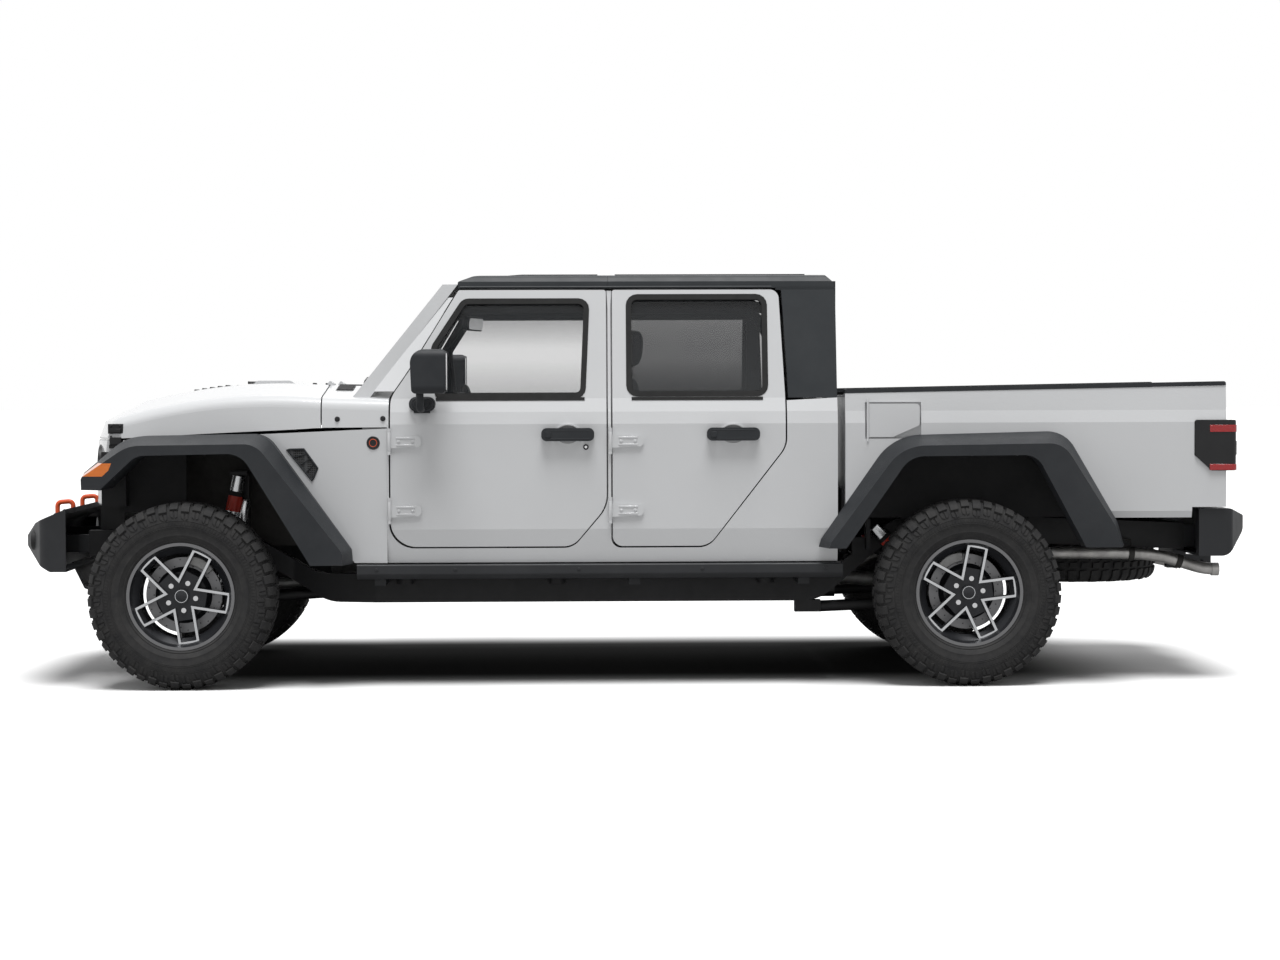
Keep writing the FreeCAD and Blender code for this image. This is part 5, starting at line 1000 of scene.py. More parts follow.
def makeFrontTrim():
    spots = {"bolts": ((1.324, 1.192), (1.119, 1.194)), "badge": (1.163, 1.086), "badgeSize": 0.030,
             "vent": [(1.553, 1.057), (1.476, 1.059), (1.414, 0.974), (1.438, 0.916)]}
    trim = Shape()
    for x, z in spots["bolts"]:
        point, normal = onSide("cab_tub", x, z)
        trim.bolt(point, normal, 0.012, 0.009, 0, 12)
    badge = facing(*onSide("front_fenders", *spots["badge"]))
    size = spots["badgeSize"]
    trim.lathe([(0, -0.002), (size, -0.002), (size, 0.002), (size * 0.93, 0.0038), (size * 0.84, 0.0032),
                (0, 0.0032)], 36, badge, 0)
    trim.lathe([(size * 0.50, 0.0030), (size * 0.56, 0.0040), (size * 0.62, 0.0030)], 36, badge, 1,
               closed=True)
    doubled(trim).piece("cowlBolts", "truck", "black_plastic", "trimBlack", "hookPaint")

    # Fender vent: dark net in a raised rim behind the flare, with three bars
    vent = Shape()
    corners = spots["vent"]

    def raised(spot, lift):
        point, normal = onSide("front_fenders", *spot)
        return point + normal * lift

    layer(vent, "front_fenders", corners, (6, 6), fromSide, 0.0015, 0)
    vent.tube([raised(between(Vector(a), Vector(b), k / 6), 0.002)
               for a, b in zip(corners, corners[1:] + corners[:1]) for k in range(6)],
              0.0042, 8, 1, closed=True)
    for k in (0.25, 0.5, 0.75):
        low = between(Vector(corners[3]), Vector(corners[0]), k)
        high = between(Vector(corners[2]), Vector(corners[1]), k)
        vent.tube([raised(between(low, high, share), 0.003) for share in (0.03, 0.35, 0.65, 0.97)],
                  0.0022, 6, 1)
    doubled(vent).piece("fenderVents", "truck", "black_plastic", "ventMesh", "flarePlastic")


def makeHoodTrim():
    # Louvred vents, a grille in the scoop's mouth, washer jets and side latches
    vents = {"rear": 1.86, "front": 2.06, "inner": 0.13, "outer": (0.27, 0.25), "louvre": 1.885,
             "step": 0.036}
    scoop = {"mouth": 1.795, "top": 1.361, "rear": 1.786, "front": 1.7925, "half": 0.195, "bar": 0.0022}
    trim = Shape()
    for side in (1, -1):
        outer, inner = vents["outer"], vents["inner"]
        corners = [(vents["rear"], outer[0] * side), (vents["front"], outer[1] * side),
                   (vents["front"], inner * side), (vents["rear"], inner * side)]
        layer(trim, "hood", corners, (8, 4), fromTop, 0.0018, 0)
        for k in range(5):
            line = []
            for share in (0.0, 0.33, 0.67, 1.0):
                point, normal = onTop("hood", vents["louvre"] + vents["step"] * k,
                                      side * between(0.135, 0.255, share))
                line.append(point + normal * 0.0035)
            trim.tube(line, 0.0045, 6, 1)
    foot = onTop("hood", scoop["mouth"], 0)[0].z + 0.006
    for k in range(4):
        z = between(foot, scoop["top"], k / 3)
        trim.box((scoop["rear"], -scoop["half"], z - scoop["bar"]),
                 (scoop["front"], scoop["half"], z + scoop["bar"]), 1)
    for side in (0.30, -0.30):
        trim.prism(rounded(0.016, 0.010, 0.006), -0.002, 0.006, facing(*onTop("hood", 1.47, side)), 1, 0.8)
    trim.piece("hoodTrim", "hood_body", "black_plastic", "ventMesh", "trimBlack")

    strap, catch = Shape(), Shape()
    x = 2.335
    skin = onSide("hood", x, 1.165)[0].y
    for width in (-0.022, 0.022):
        strap.tube([(x + width, skin + out, z)
                    for out, z in ((0.006, 1.118), (0.014, 1.095), (0.013, 1.072))], 0.0055, 8)
    # Each box: half its length along the hood, then out from the skin and height, from and to
    for shape, half, near, far, low, high in (
            (strap, 0.030, -0.030, 0.016, 1.062, 1.078), (strap, 0.026, 0.004, 0.020, 1.078, 1.112),
            (catch, 0.034, -0.004, 0.012, 1.128, 1.172), (catch, 0.024, 0.010, 0.022, 1.134, 1.150)):
        shape.box((x - half, skin + near, low), (x + half, skin + far, high))
    for along in (-0.020, 0.020):
        catch.bolt((x + along, skin + 0.012, 1.162), (0, 1, 0), 0.006, 0.004)
    doubled(strap).piece("hoodLatchFeet", "truck", "black_plastic", "trimBlack", bevel=0.0025)
    doubled(catch).piece("hoodLatchHooks", "hood_body", "black_plastic", "trimBlack", bevel=0.0025)


def lampUnit(shape, centre, radius, depth, projector):
    # Bezel, bright bowl, projector and a domed lens; local Z looks out of the lamp
    place = facing(centre, (1, 0, 0))
    r = radius
    shape.lathe([(r, -depth), (r, 0.0), (r * 0.97, 0.004), (r * 0.90, 0.002), (r * 0.89, -0.006),
                 (r * 0.93, -0.012), (r * 0.93, -depth)], 48, place, 1, closed=True)
    bowl = [(r * 0.93, -0.008)]
    for k in range(7):
        turn = math.radians(15 + 75 * k / 6)
        bowl.append((r * 0.92 * math.cos(turn) + 0.001, -0.008 - depth * 0.7 * math.sin(turn)))
    bowl += [(0, -0.008 - depth * 0.7), (0, -depth * 0.95), (r * 0.93, -depth * 0.95)]
    shape.lathe(bowl, 48, place, 2)
    shape.lathe([(r * 0.78, -0.014), (r * 0.86, -0.010), (r * 0.86, -0.018), (r * 0.78, -0.022)], 48, place,
                4, closed=True)
    if projector:
        for up in (0.36, -0.36):
            eye = facing(Vector(centre) + Vector((-0.016, 0, up * r)), (1, 0, 0))
            shape.lathe([(0, -0.020), (r * 0.30, -0.020), (r * 0.30, 0.0), (r * 0.26, 0.002),
                         (r * 0.25, -0.002)], 28, eye, 1)
            dome = [(r * 0.25 * math.cos(math.radians(a)), r * 0.12 * math.sin(math.radians(a)) - 0.002)
                    for a in (0, 20, 40, 60, 75)]
            shape.lathe(dome + [(0, r * 0.12 - 0.002)], 24, eye, 3)
        shape.box((-r * 0.74, -0.006, -0.030), (r * 0.74, 0.006, -0.016), 1, place)
    else:
        shape.lathe([(0, -0.03), (r * 0.34, -0.03), (r * 0.34, -0.010), (r * 0.22, -0.004), (0, -0.003)],
                    28, place, 3)
    lensLine = [(r * 0.905, -0.003), (r * 0.905, 0.0)]
    for k in range(6):
        turn = math.radians(90 * k / 6)
        lensLine.append((r * 0.90 * math.cos(turn), 0.0005 + 0.0035 * math.sin(turn)))
    lensLine += [(0, 0.004), (0, 0.0015), (r * 0.6, 0.001), (r * 0.905, -0.003)]
    shape.lathe(lensLine, 48, place, 0)


def makeLamps():
    lamps = Shape()
    for side in (1, -1):
        lampUnit(lamps, (2.428, 0.455 * side, 0.988), 0.0895, 0.070, True)
        lampUnit(lamps, (2.7075, 0.615 * side, 0.650), 0.0455, 0.060, False)
    unit = lamps.piece("lampUnits", "truck", "lamp_glass", "lampLens", "trimBlack", "lampBowl", "lampLens",
                       "haloRing", smooth=30)
    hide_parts("head_lamps")


def makeTailLamps():
    # Two red bars round the corner of each black housing, joined on its rear face
    lamp = {"bars": ((1.1230, 1.1545), (0.9520, 0.9790)), "corner": (-2.6745, 0.7925), "round": 0.024,
            "face": -2.6985, "back": -2.690, "inner": 0.752}
    red, white, high = Shape(), Shape(), Shape()
    x, y = lamp["corner"]
    face, back, inner = lamp["face"], lamp["back"], lamp["inner"]
    plan = [(-2.573, 0.8165)]
    for k in range(7):
        turn = math.radians(90 * k / 6)
        plan.append((x - lamp["round"] * math.sin(turn), y + lamp["round"] * math.cos(turn)))
    plan += [(face, inner), (back, inner), (back, 0.790), (-2.672, 0.808), (-2.573, 0.808)]
    for bar in lamp["bars"]:
        red.prism(plan, *bar)
    red.box((face, inner, 0.979), (back, 0.763, 1.123))
    white.box((face + 0.001, 0.772, 1.020), (back, 0.801, 1.082))
    doubled(red).piece("tailLampBars", "truck", "lamp_red", "redLens", bevel=0.0012)
    doubled(white).piece("reverseLamps", "truck", "lamp_glass", "lampLens", bevel=0.001)
    point = strike("roof_rear_shell", (-1.2, 0, 1.775), (1, 0, 0))[0]
    high.prism(rounded(0.115, 0.011, 0.006), -0.003, 0.006, facing(point, (-1, 0, 0)), 0)
    high.piece("highStopLamp", "truck", "lamp_red", "redLens", bevel=0.001)


# Windscreen, wipers and cowl

def makeScreenTrim():
    screen = {"low": 1.380, "high": 1.735, "halfLow": 0.644, "halfHigh": 0.600,
              "foot": Vector((1.228, 0, 1.330)), "slope": math.atan2(0.370, 0.464)}
    slope, foot = screen["slope"], screen["foot"]
    up = Vector((-math.sin(slope), 0, math.cos(slope)))
    out = Vector((math.cos(slope), 0, math.sin(slope)))
    across = up.cross(out)
    place = Matrix.Translation(foot) @ Matrix((across, up, out)).transposed().to_4x4()

    def rise(z):
        return (z - foot.z) / math.cos(slope)

    corners = [(-screen["halfLow"], rise(screen["low"])), (screen["halfLow"], rise(screen["low"])),
               (screen["halfHigh"], rise(screen["high"])), (-screen["halfHigh"], rise(screen["high"]))]
    seal = Shape()
    band(seal, softened(inset(corners, -0.004), [0.049] * 4), softened(inset(corners, 0.022), [0.024] * 4),
         -0.022, 0.0012, place)
    seal.piece("screenSeal", "truck", "black_plastic", "sealRubber")

    # Each wiper: its pivot's y and how far its blade reaches to the right
    wipers = Shape()
    for pivot, reach in ((0.47, -0.50), (-0.07, -0.48)):
        base = place @ Vector((0, rise(1.352), 0.0))
        base.y = pivot

        def onArm(share, higher, further):
            return base + Vector((0, reach * share, 0)) + up * higher + out * further

        wipers.lathe([(0, -0.006), (0.016, -0.006), (0.016, 0.010), (0.010, 0.018), (0, 0.020)], 18,
                     facing(base, out))
        wipers.tube([onArm(0, 0, 0.014), onArm(0.20, 0.012, 0.022), onArm(0.62, 0.030, 0.010)],
                    [0.007, 0.0062, 0.0042], 8)
        start, end = onArm(0.10, 0.036, -0.006), onArm(1.06, 0.040, -0.006)
        blade = [between(start, end, k / 8) for k in range(9)]
        wipers.tube([spot + out * (0.010 + 0.004 * math.sin(math.pi * k / 8))
                     for k, spot in enumerate(blade)], 0.0048, 6)
        wipers.tube([spot + out * 0.0035 for spot in blade], 0.0028, 4)
    wipers.piece("wipers", "truck", "black_plastic", "trimBlack")

    # Louvred panel between the hood and the screen
    cowl = {"front": 1.355, "rear": 1.275, "half": 0.50, "slats": 34}
    grille = Shape()
    layer(grille, "cab_tub", [(cowl["rear"], -cowl["half"]), (cowl["front"], -cowl["half"]),
                              (cowl["front"], cowl["half"]), (cowl["rear"], cowl["half"])], (2, 20), fromTop,
          0.0012, 0)
    for k in range(cowl["slats"]):
        y = -0.485 + 0.97 * k / (cowl["slats"] - 1)
        grille.tube([onTop("cab_tub", x, y)[0] + Vector((0, 0, 0.003)) for x in (1.350, 1.280)], 0.003, 5, 1)
    grille.piece("cowlGrille", "truck", "black_plastic", "ventMesh", "trimBlack")

    inside = Shape()
    place = facing((0.735, 0.0, 1.632), (-1, 0.25, -0.12))
    inside.prism(rounded(0.125, 0.034, 0.026, 4), -0.030, -0.002, place, 0)
    inside.prism(rounded(0.117, 0.027, 0.020, 4), -0.002, 0.001, place, 1)
    inside.tube([(0.752, 0.0, 1.640), (0.775, 0.0, 1.690), (0.812, 0.0, 1.726)], 0.009, 8)
    inside.piece("insideMirror", "truck", "black_plastic", "trimBlack", "mirrorGlass", bevel=0.001)


# Roof, bed and tail

def makeRoofTrim():
    # Pressed ribs, the seam between the front panels and the gutter strips. Each rib: its node, its
    # rear and front end and its steps
    ribs = {"places": (("roof_rear_shell", -0.80, 0.08, 14), ("roof_front_panels", 0.16, 0.66, 10)),
            "inner": 0.30, "outer": 0.318, "lift": 0.0045, "seam": 0.0045, "seamLift": 0.0022}
    trim = Shape()
    seam = ribs["seam"]
    layer(trim, "roof_front_panels", [(0.150, -seam), (0.700, -seam), (0.700, seam), (0.150, seam)],
          (10, 1), fromTop, ribs["seamLift"])
    for side in (1, -1):
        inner, outer = ribs["inner"] * side, ribs["outer"] * side
        for node, rear, front, steps in ribs["places"]:
            layer(trim, node, [(rear, inner), (front, inner), (front, outer), (rear, outer)], (steps, 1),
                  fromTop, ribs["lift"])
        trim.tube([(0.780, 0.669 * side, 1.781), (0.10, 0.671 * side, 1.780), (-0.62, 0.671 * side, 1.780)],
                  0.0055, 8)
    trim.piece("roofRibs", "truck", "black_top", "topShell", smooth=50)


def makeBedTrim():
    bed = {"front": -1.045, "rear": -2.575, "floor": 0.880, "ribs": 11, "ribHalf": 0.022, "ribsOut": 0.50}
    ribs = Shape()
    for k in range(bed["ribs"]):
        y = between(-bed["ribsOut"], bed["ribsOut"], k / (bed["ribs"] - 1))
        low, high = y - bed["ribHalf"], y + bed["ribHalf"]
        ribs.prism([(bed["rear"], low), (bed["front"], low), (bed["front"], high), (bed["rear"], high)],
                   bed["floor"] - 0.001, bed["floor"] + 0.010, None, 0, 0.985)
    ribs.piece("bedRibs", "truck", "black_plastic", "bedLining", bevel=0.003)

    rings = Shape()
    for x in (-1.12, -2.50):
        for side in (1, -1):
            plate = facing((x, 0.7195 * side, 1.20), (0, -side, 0))
            rings.prism(rounded(0.030, 0.030, 0.008), -0.001, 0.005, plate, 0)
            loop = [plate @ Vector((a, b - 0.010, 0.010)) for a, b in circle(16, 0.017)]
            rings.tube(loop, 0.0040, 8, 0, closed=True)
    rings.piece("tieDownRings", "truck", "black_steel", "bumperCoat", bevel=0.0008)

    # Pressed frame, latch handle with its lock, and cap of the tailgate
    rearward = (-1, 0, 0)
    gate = Shape()
    x = -2.650
    band(gate, rounded(0.640, 0.150, 0.040, 5), rounded(0.618, 0.128, 0.030, 5), -0.001, 0.006,
         facing((x, 0, 1.03), rearward), 0)
    gate.prism(rounded(0.150, 0.036, 0.014, 4), -0.001, 0.004, facing((x, 0, 1.243), rearward), 1)
    gate.prism(rounded(0.110, 0.015, 0.010, 4), 0.004, 0.017, facing((x, 0, 1.248), rearward), 1, 0.93)
    gate.lathe([(0, 0), (0.011, 0), (0.011, 0.004), (0.008, 0.006), (0, 0.006)], 18,
               facing((x - 0.003, -0.125, 1.243), rearward), 1)
    gate.box((x, -0.700, 1.3115), (-2.592, 0.700, 1.3185), 1)
    gate.piece("tailgateTrim", "tailgate_body", "black_plastic", "bodyPaint", "flarePlastic", bevel=0.0018)

    # Step pads with their bars, and the blank plate between them
    step = Shape()
    for y in (-0.50, 0.50):
        step.prism(rounded(0.048, 0.150, 0.015, 4), 0, 0.004, Matrix.Translation((-2.600, y, 0.7785)), 0)
        for k in range(9):
            bar = y - 0.130 + 0.0325 * k
            step.box((-2.640, bar - 0.005, 0.782), (-2.560, bar + 0.005, 0.7855), 0)
    step.prism(rounded(0.170, 0.062, 0.012, 4), -0.030, -0.0005, facing((-2.7715, 0, 0.690), rearward), 1)
    for side in (1, -1):
        step.bolt((-2.7705, 0.125 * side, 0.725), rearward, 0.007, -0.001, 0)
    step.piece("rearStepTrim", "truck", "black_steel", "sealRubber", "trimBlack", bevel=0.001)


# Bumper, rails, brakes, shocks and what hangs below

def makeSteelTrim():
    # Bolt heads on bumpers, rails and under the flares: places, then radius and height
    bolts = {"bumperFace": (0.150, 0.250), "bumperTop": (2.56, 2.60),
             "rails": (-0.85, -0.30, 0.25, 0.80, 1.15), "frontFlares": (2.30, 2.10, 1.90, 1.72),
             "rearFlares": (-1.30, -1.50, -1.70), "flareOut": 0.87}
    trim = Shape()
    for side in (1, -1):
        out = bolts["flareOut"] * side
        for y in bolts["bumperFace"]:
            trim.bolt(*strike("front_bumper", (2.9, y * side, 0.690), (-1, 0, 0)), 0.013, 0.009)
        for x in bolts["bumperTop"]:
            trim.bolt(*onTop("front_bumper", x, 0.66 * side), 0.010, 0.007)
        for x in bolts["rails"]:
            trim.bolt(*onSide("rock_rails", x, 0.522, side), 0.009, 0.005)
        for x in bolts["frontFlares"]:
            trim.bolt(*strike("front_flares", (x, out, 0.5), (0, 0, 1)), 0.009, 0.004)
        for x in bolts["rearFlares"]:
            trim.bolt(*strike("rear_flares", (x, out, 0.6), (0, 0, 1)), 0.009, 0.004)
    trim.piece("steelBolts", "truck", "black_steel", "bumperCoat")


def makeBrakes():
    brake = {"bore": 0.036, "hat": 0.126, "near": 0.007, "far": 0.030, "holes": 30, "holesAt": 0.132,
             "holeStep": 0.026, "cap": 0.0878, "caliper": {"front": 62, "rear": 118}}
    near, far, cap = brake["near"], brake["far"], brake["cap"]
    for corner, (x, y) in wheelPlaces.items():
        side = 1 if y > 0 else -1
        end, hand = corner.split("_")
        hat = Shape()
        place = facing((x, y, axleHeight), (0, side, 0))
        hat.lathe([(brake["bore"], near - 0.002), (brake["hat"], near - 0.002), (brake["hat"], near + 0.002),
                   (0.105, far), (brake["bore"], far)], 40, place, 0, closed=True)
        for k in range(brake["holes"]):
            turn = k * 2 * math.pi / brake["holes"]
            radius = brake["holesAt"] + brake["holeStep"] * ((k * 7) % 3) / 2
            spot = Matrix.Translation((radius * math.cos(turn), radius * math.sin(turn), 0))
            hat.lathe([(0, 0.0062), (0.0032, 0.0062), (0.0032, 0.0068), (0, 0.0068)], 8, place @ spot, 0)
        # Plain cap with a thin ring in the middle of the wheel
        hat.lathe([(0.026, cap), (0.0285, cap), (0.0285, cap + 0.0014), (0.026, cap + 0.0014)], 32, place, 1,
                  closed=True)
        hat.lathe([(0, cap), (0.024, cap), (0.021, cap + 0.002), (0, cap + 0.0026)], 32, place, 0)
        hat.piece("brakeHat_" + corner, f"wheel_{corner}_body", "cast", "rimBlack", "rimCut")
        block = Shape()
        block.loft(caliperRings(brake["caliper"][end]), 0, place)
        body = f"knuckle_{hand}_body" if end == "front" else "truck"
        block.piece("caliper_" + corner, body, "cast_light", "castLight", bevel=0.003)


def caliperRings(at):
    # A curved block over the rim of the disc, in the wheel's own plane
    rings, steps = [], 8
    for k in range(steps + 1):
        turn = math.radians(at) + math.radians(-21 + 42 * k / steps)
        bulge = 0.006 * math.sin(math.pi * k / steps)
        section = ((0.138, 0.010), (0.138, 0.030), (0.176 + bulge, 0.030), (0.186, 0.016), (0.186, -0.034),
                   (0.172, -0.034), (0.172, 0.010))
        rings.append([(r * math.cos(turn), r * math.sin(turn), z) for r, z in section])
    return rings


def makeShockTrim():
    # Sleeves from low to high, as shares of the shock's length, then radius and finish
    shocks = {"front": ((1.905, 0.470, 0.400), (1.800, 0.470, 0.930), -0.052),
              "rear": ((-1.405, 0.540, 0.375), (-1.100, 0.540, 0.690), 0.052),
              "bands": ((0.44, 0.47, 0.0335, 2), (0.47, 0.62, 0.0325, 1), (0.62, 0.645, 0.0335, 2),
                        (0.70, 0.83, 0.0325, 1), (0.83, 0.87, 0.0340, 0)), "inner": 0.030}
    sleeves = Shape()
    for end in ("front", "rear"):
        foot, head, aside = shocks[end]
        axis = Vector(head) - Vector(foot)
        place = facing(foot, axis)
        long, inner = axis.length, shocks["inner"]
        for low, high, radius, tint in shocks["bands"]:
            sleeves.lathe([(inner, low * long), (radius, low * long), (radius, high * long),
                           (inner, high * long)], 28, place, tint, closed=True)
        # Reservoir beside it
        sleeves.lathe([(0, 0.50 * long), (0.020, 0.50 * long), (0.023, 0.51 * long), (0.023, 0.80 * long),
                       (0.018, 0.82 * long), (0, 0.82 * long)], 22,
                      place @ Matrix.Translation((0.0, aside, 0)), 2)
    doubled(sleeves).piece("shockSleeves", "truck", "shock_silver", "sealRubber", "shockPaint", "shockSilver")


def smoothLine(corners, steps):
    # A smooth run through the corners
    flat = [Vector(corner) for corner in corners]
    line = []
    for i in range(len(flat) - 1):
        p0, p1, p2, p3 = flat[max(i - 1, 0)], flat[i], flat[i + 1], flat[min(i + 2, len(flat) - 1)]
        for k in range(steps):
            t = k / steps
            line.append(0.5 * (2 * p1 + (p2 - p0) * t + (2 * p0 - 5 * p1 + 4 * p2 - p3) * t * t
                               + (3 * p1 - p0 - 3 * p2 + p3) * t ** 3))
    return line + [flat[-1]]


def makeLiners():
    # Moulded liners over the tyres, a skin inside each wheel opening
    skins = {"front": {"line": [(1.300, 0.600), (1.450, 0.780), (1.560, 0.960), (1.700, 1.070),
                                (1.900, 1.088), (2.150, 1.080), (2.290, 1.045)],
                       "inner": 0.618, "outer": 0.835},
             "rear": {"line": [(-0.955, 0.745), (-1.080, 0.900), (-1.190, 1.015), (-1.330, 1.048),
                               (-1.650, 1.048), (-1.800, 1.000), (-1.930, 0.840), (-1.985, 0.745)],
                      "inner": 0.602, "outer": 0.800}}
    liner = {"thick": 0.006, "rib": 0.003, "wallFoot": 0.735}
    inward = facing((0, 0, 0), (0, -1, 0))
    liners = Shape()
    for end, skin in skins.items():
        path = smoothLine(skin["line"], 5)
        count = len(path)
        points, faces = [], []
        for offset in (0.0, liner["thick"]):
            for i, (x, z) in enumerate(path):
                along = (path[min(i + 1, count - 1)] - path[max(i - 1, 0)]).normalized()
                normal = Vector((-along.y, along.x))
                if normal.y < 0:
                    normal = -normal
                out = offset - (liner["rib"] if i % 4 == 0 else 0.0)
                for y in (skin["inner"], skin["outer"]):
                    points.append((x + normal.x * out, y, z + normal.y * out))
        for i in range(count - 1):
            a = 2 * i
            b = 2 * (count + i)
            faces += [(a, a + 2, a + 3, a + 1), (b, b + 1, b + 3, b + 2), (a, b, b + 2, a + 2),
                      (a + 1, a + 3, b + 3, b + 1)]
        last = 2 * (count - 1)
        faces += [(0, 1, 2 * count + 1, 2 * count), (last, 2 * count + last, 2 * count + last + 1, last + 1)]
        liners.add(points, faces)
        if end == "rear":
            foot = liner["wallFoot"]
            outline = [(path[0][0], foot)] + [spot for spot in path if spot[1] > foot] + [(path[-1][0], foot)]
            liners.prism(outline, -0.604, -0.600, inward)
    liners.prism([(2.03, 0.770), (2.33, 0.770), (2.33, 1.02), (2.25, 1.045), (2.03, 1.075)], -0.544, -0.540,
                 inward)
    liners.box((2.290, 0.500, 0.800), (2.400, 0.620, 1.045))
    liners.box((-0.945, 0.30, 0.640), (-0.930, 0.745, 0.870))
    doubled(liners).piece("wheelLiners", "truck", "black_plastic", "bedLining", smooth=50)


def makePosts():
    # Body-colour posts that the doors close on
    post = {"rear": 0.045, "front": 0.165, "low": 1.16, "high": 1.765, "clear": 0.008, "thick": 0.030,
            "seen": 1.224, "gap": 0.006}
    rows = []
    for k in range(9):
        z = between(post["low"], post["high"], k / 8)
        reach = min(strike("door_front_left", (0.150, 0.30, z), (0, 1, 0))[0].y,
                    strike("door_rear_left", (0.055, 0.30, z), (0, 1, 0))[0].y) - post["clear"]
        rows.append((z, reach))
    posts = Shape()
    posts.loft([[(post["rear"], reach - post["thick"], z), (post["rear"], reach, z),
                 (post["front"], reach, z), (post["front"], reach - post["thick"], z)] for z, reach in rows])
    # The strip of body colour that shows between the two doors, clear of both
    rings = []
    for z, reach in [(post["seen"], rows[1][1])] + rows[1:]:
        skin = onSide("door_front_left", 0.150, z)[0].y
        middle = (0.106, skin - 0.012, z)
        low = strike("door_rear_left", middle, (-1, 0, 0))[0].x + post["gap"]
        high = strike("door_front_left", middle, (1, 0, 0))[0].x - post["gap"]
        rings.append([(low, reach - 0.010, z), (low, skin - 0.004, z), (high, skin - 0.004, z),
                      (high, reach - 0.010, z)])
    posts.loft(rings)
    doubled(posts).piece("doorPosts", "truck", "body_paint", "bodyPaint", bevel=0.003)


def makeHeaders():
    # Weather strips that close the roof on the screen frame, and its crown on the back panel
    front, rear = [], []
    for k in range(25):
        y = between(-0.650, 0.650, k / 24)
        edge = 0.788
        start, way = fromTop(edge, y)
        while surfaceOf("roof_front_panels").ray_cast(Vector(start), Vector(way))[0] is None:
            edge -= 0.004
            start, way = fromTop(edge, y)
        top = onTop("roof_front_panels", edge, y)[0].z
        front.append([(edge - 0.014, y, 1.750), (0.7895, y, 1.750), (0.7895, y, 1.8055),
                      (edge - 0.014, y, top + 0.002)])
        crown = onTop("roof_rear_shell", -0.845, y)[0].z - 0.003
        rear.append([(-0.906, y, 1.755), (-0.846, y, 1.755), (-0.846, y, min(1.8500, crown)),
                     (-0.899, y, 1.8035)])
    strips = Shape()
    strips.loft(front)
    strips.loft(rear)
    strips.piece("roofHeaders", "truck", "black_top", "topShell", smooth=50)

    # Flange of the screen frame that runs along the door's leading edge. The frame's edges lean: each
    # gives where it is at one height and how much it gives way for each metre up
    lean = {"door": (0.772, 1.282, 0.2016), "frame": (0.704, 1.38, 0.124), "edge": (1.181, 1.293, 0.798)}
    rings = []
    rows = 14
    for k in range(rows):
        z = between(1.315, 1.735, k / (rows - 1))
        y, inner, x = [at - (z - height) * slope for at, height, slope in lean.values()]
        x -= 0.012
        back = strike("door_front_left", (x, y - 0.014, z), (-1, 0, 0))[0].x + 0.006
        fore = strike("windshield_frame", (x, inner - 0.015, z), (1, 0, 0))[0].x + 0.003
        rings.append([(back, y - 0.034, z), (fore, inner - 0.020, z), (fore, inner + 0.001, z),
                      (back, y - 0.006, z)])
    flange = Shape()
    flange.loft(rings)
    doubled(flange).piece("screenFlanges", "truck", "body_paint", "bodyPaint", smooth=50)


def makeTailPipe():
    # Tailpipe behind the left rear wheel, with its clamps and hanger
    pipe = {"radius": 0.027, "tip": 0.030, "clamps": (9, 20, 29), "hanger": 20,
            "route": [(-1.640, 0.360, 0.600), (-1.72, 0.470, 0.580), (-1.85, 0.530, 0.568),
                      (-2.05, 0.535, 0.566), (-2.28, 0.530, 0.562), (-2.42, 0.530, 0.548),
                      (-2.52, 0.535, 0.520), (-2.60, 0.545, 0.497), (-2.665, 0.550, 0.490)]}
    shape = Shape()
    line = smoothLine(pipe["route"], 5)
    shape.tube(line, pipe["radius"], 20)
    shape.tube([line[-1] + Vector((0.02, 0, 0)), line[-1] + Vector((-0.012, 0, 0))], pipe["tip"], 20)
    for index in pipe["clamps"]:
        way = (line[index + 1] - line[index]).normalized()
        shape.lathe([(0.0265, -0.014), (0.0315, -0.012), (0.0315, 0.012), (0.0265, 0.014)], 20,
                    facing(line[index], way), 1)
    hook = line[pipe["hanger"]]
    shape.tube([hook + Vector((0, 0, 0.028)), hook + Vector((0, -0.01, 0.06)), (-2.08, 0.50, 0.66)],
               0.005, 8, 1)
    shape.piece("tailPipe", "truck", "pipe", "pipeSteel", "castIron", smooth=50)


def makeSpare():
    centre = (-2.085, 0.0, 0.557)
    makeTyre("spareTread", "truck", centre, (0, 0, 1), "spare_wheel", 11)
    wheel = Shape()
    place = Matrix.Translation(centre)
    wheel.lathe([(0.216, -0.100), (0.226, -0.104), (0.222, -0.092), (0.200, -0.085), (0.195, -0.020),
                 (0.180, 0.010), (0.120, 0.020), (0.060, 0.0), (0.030, 0.0), (0.030, 0.010), (0.060, 0.012),
                 (0.120, 0.030), (0.185, 0.020), (0.203, -0.015), (0.203, 0.085), (0.222, 0.092),
                 (0.226, 0.104), (0.216, 0.100)], 48, place, 0)
    for a, b in circle(5, 0.0635):
        wheel.bolt(place @ Vector((a, b, -0.001)), (0, 0, -1), 0.012, 0.016)
    wheel.tube([(-2.085, 0, 0.560), (-2.085, 0, 0.640), (-2.085, 0, 0.700)], 0.012, 8)
    rim = wheel.piece("spareRim", "truck", "rim", "rimBlack")
    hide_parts("spare_wheel")


# Seats and dash

padding = {"voxel": 0.016, "pressure": 4, "frames": 15, "cap": 0.010, "fill": 0.7, "seam": 0.012,
           "sunk": 0.006}


def baked(thing):
    return bpy.data.meshes.new_from_object(thing.evaluated_get(bpy.context.evaluated_depsgraph_get()))


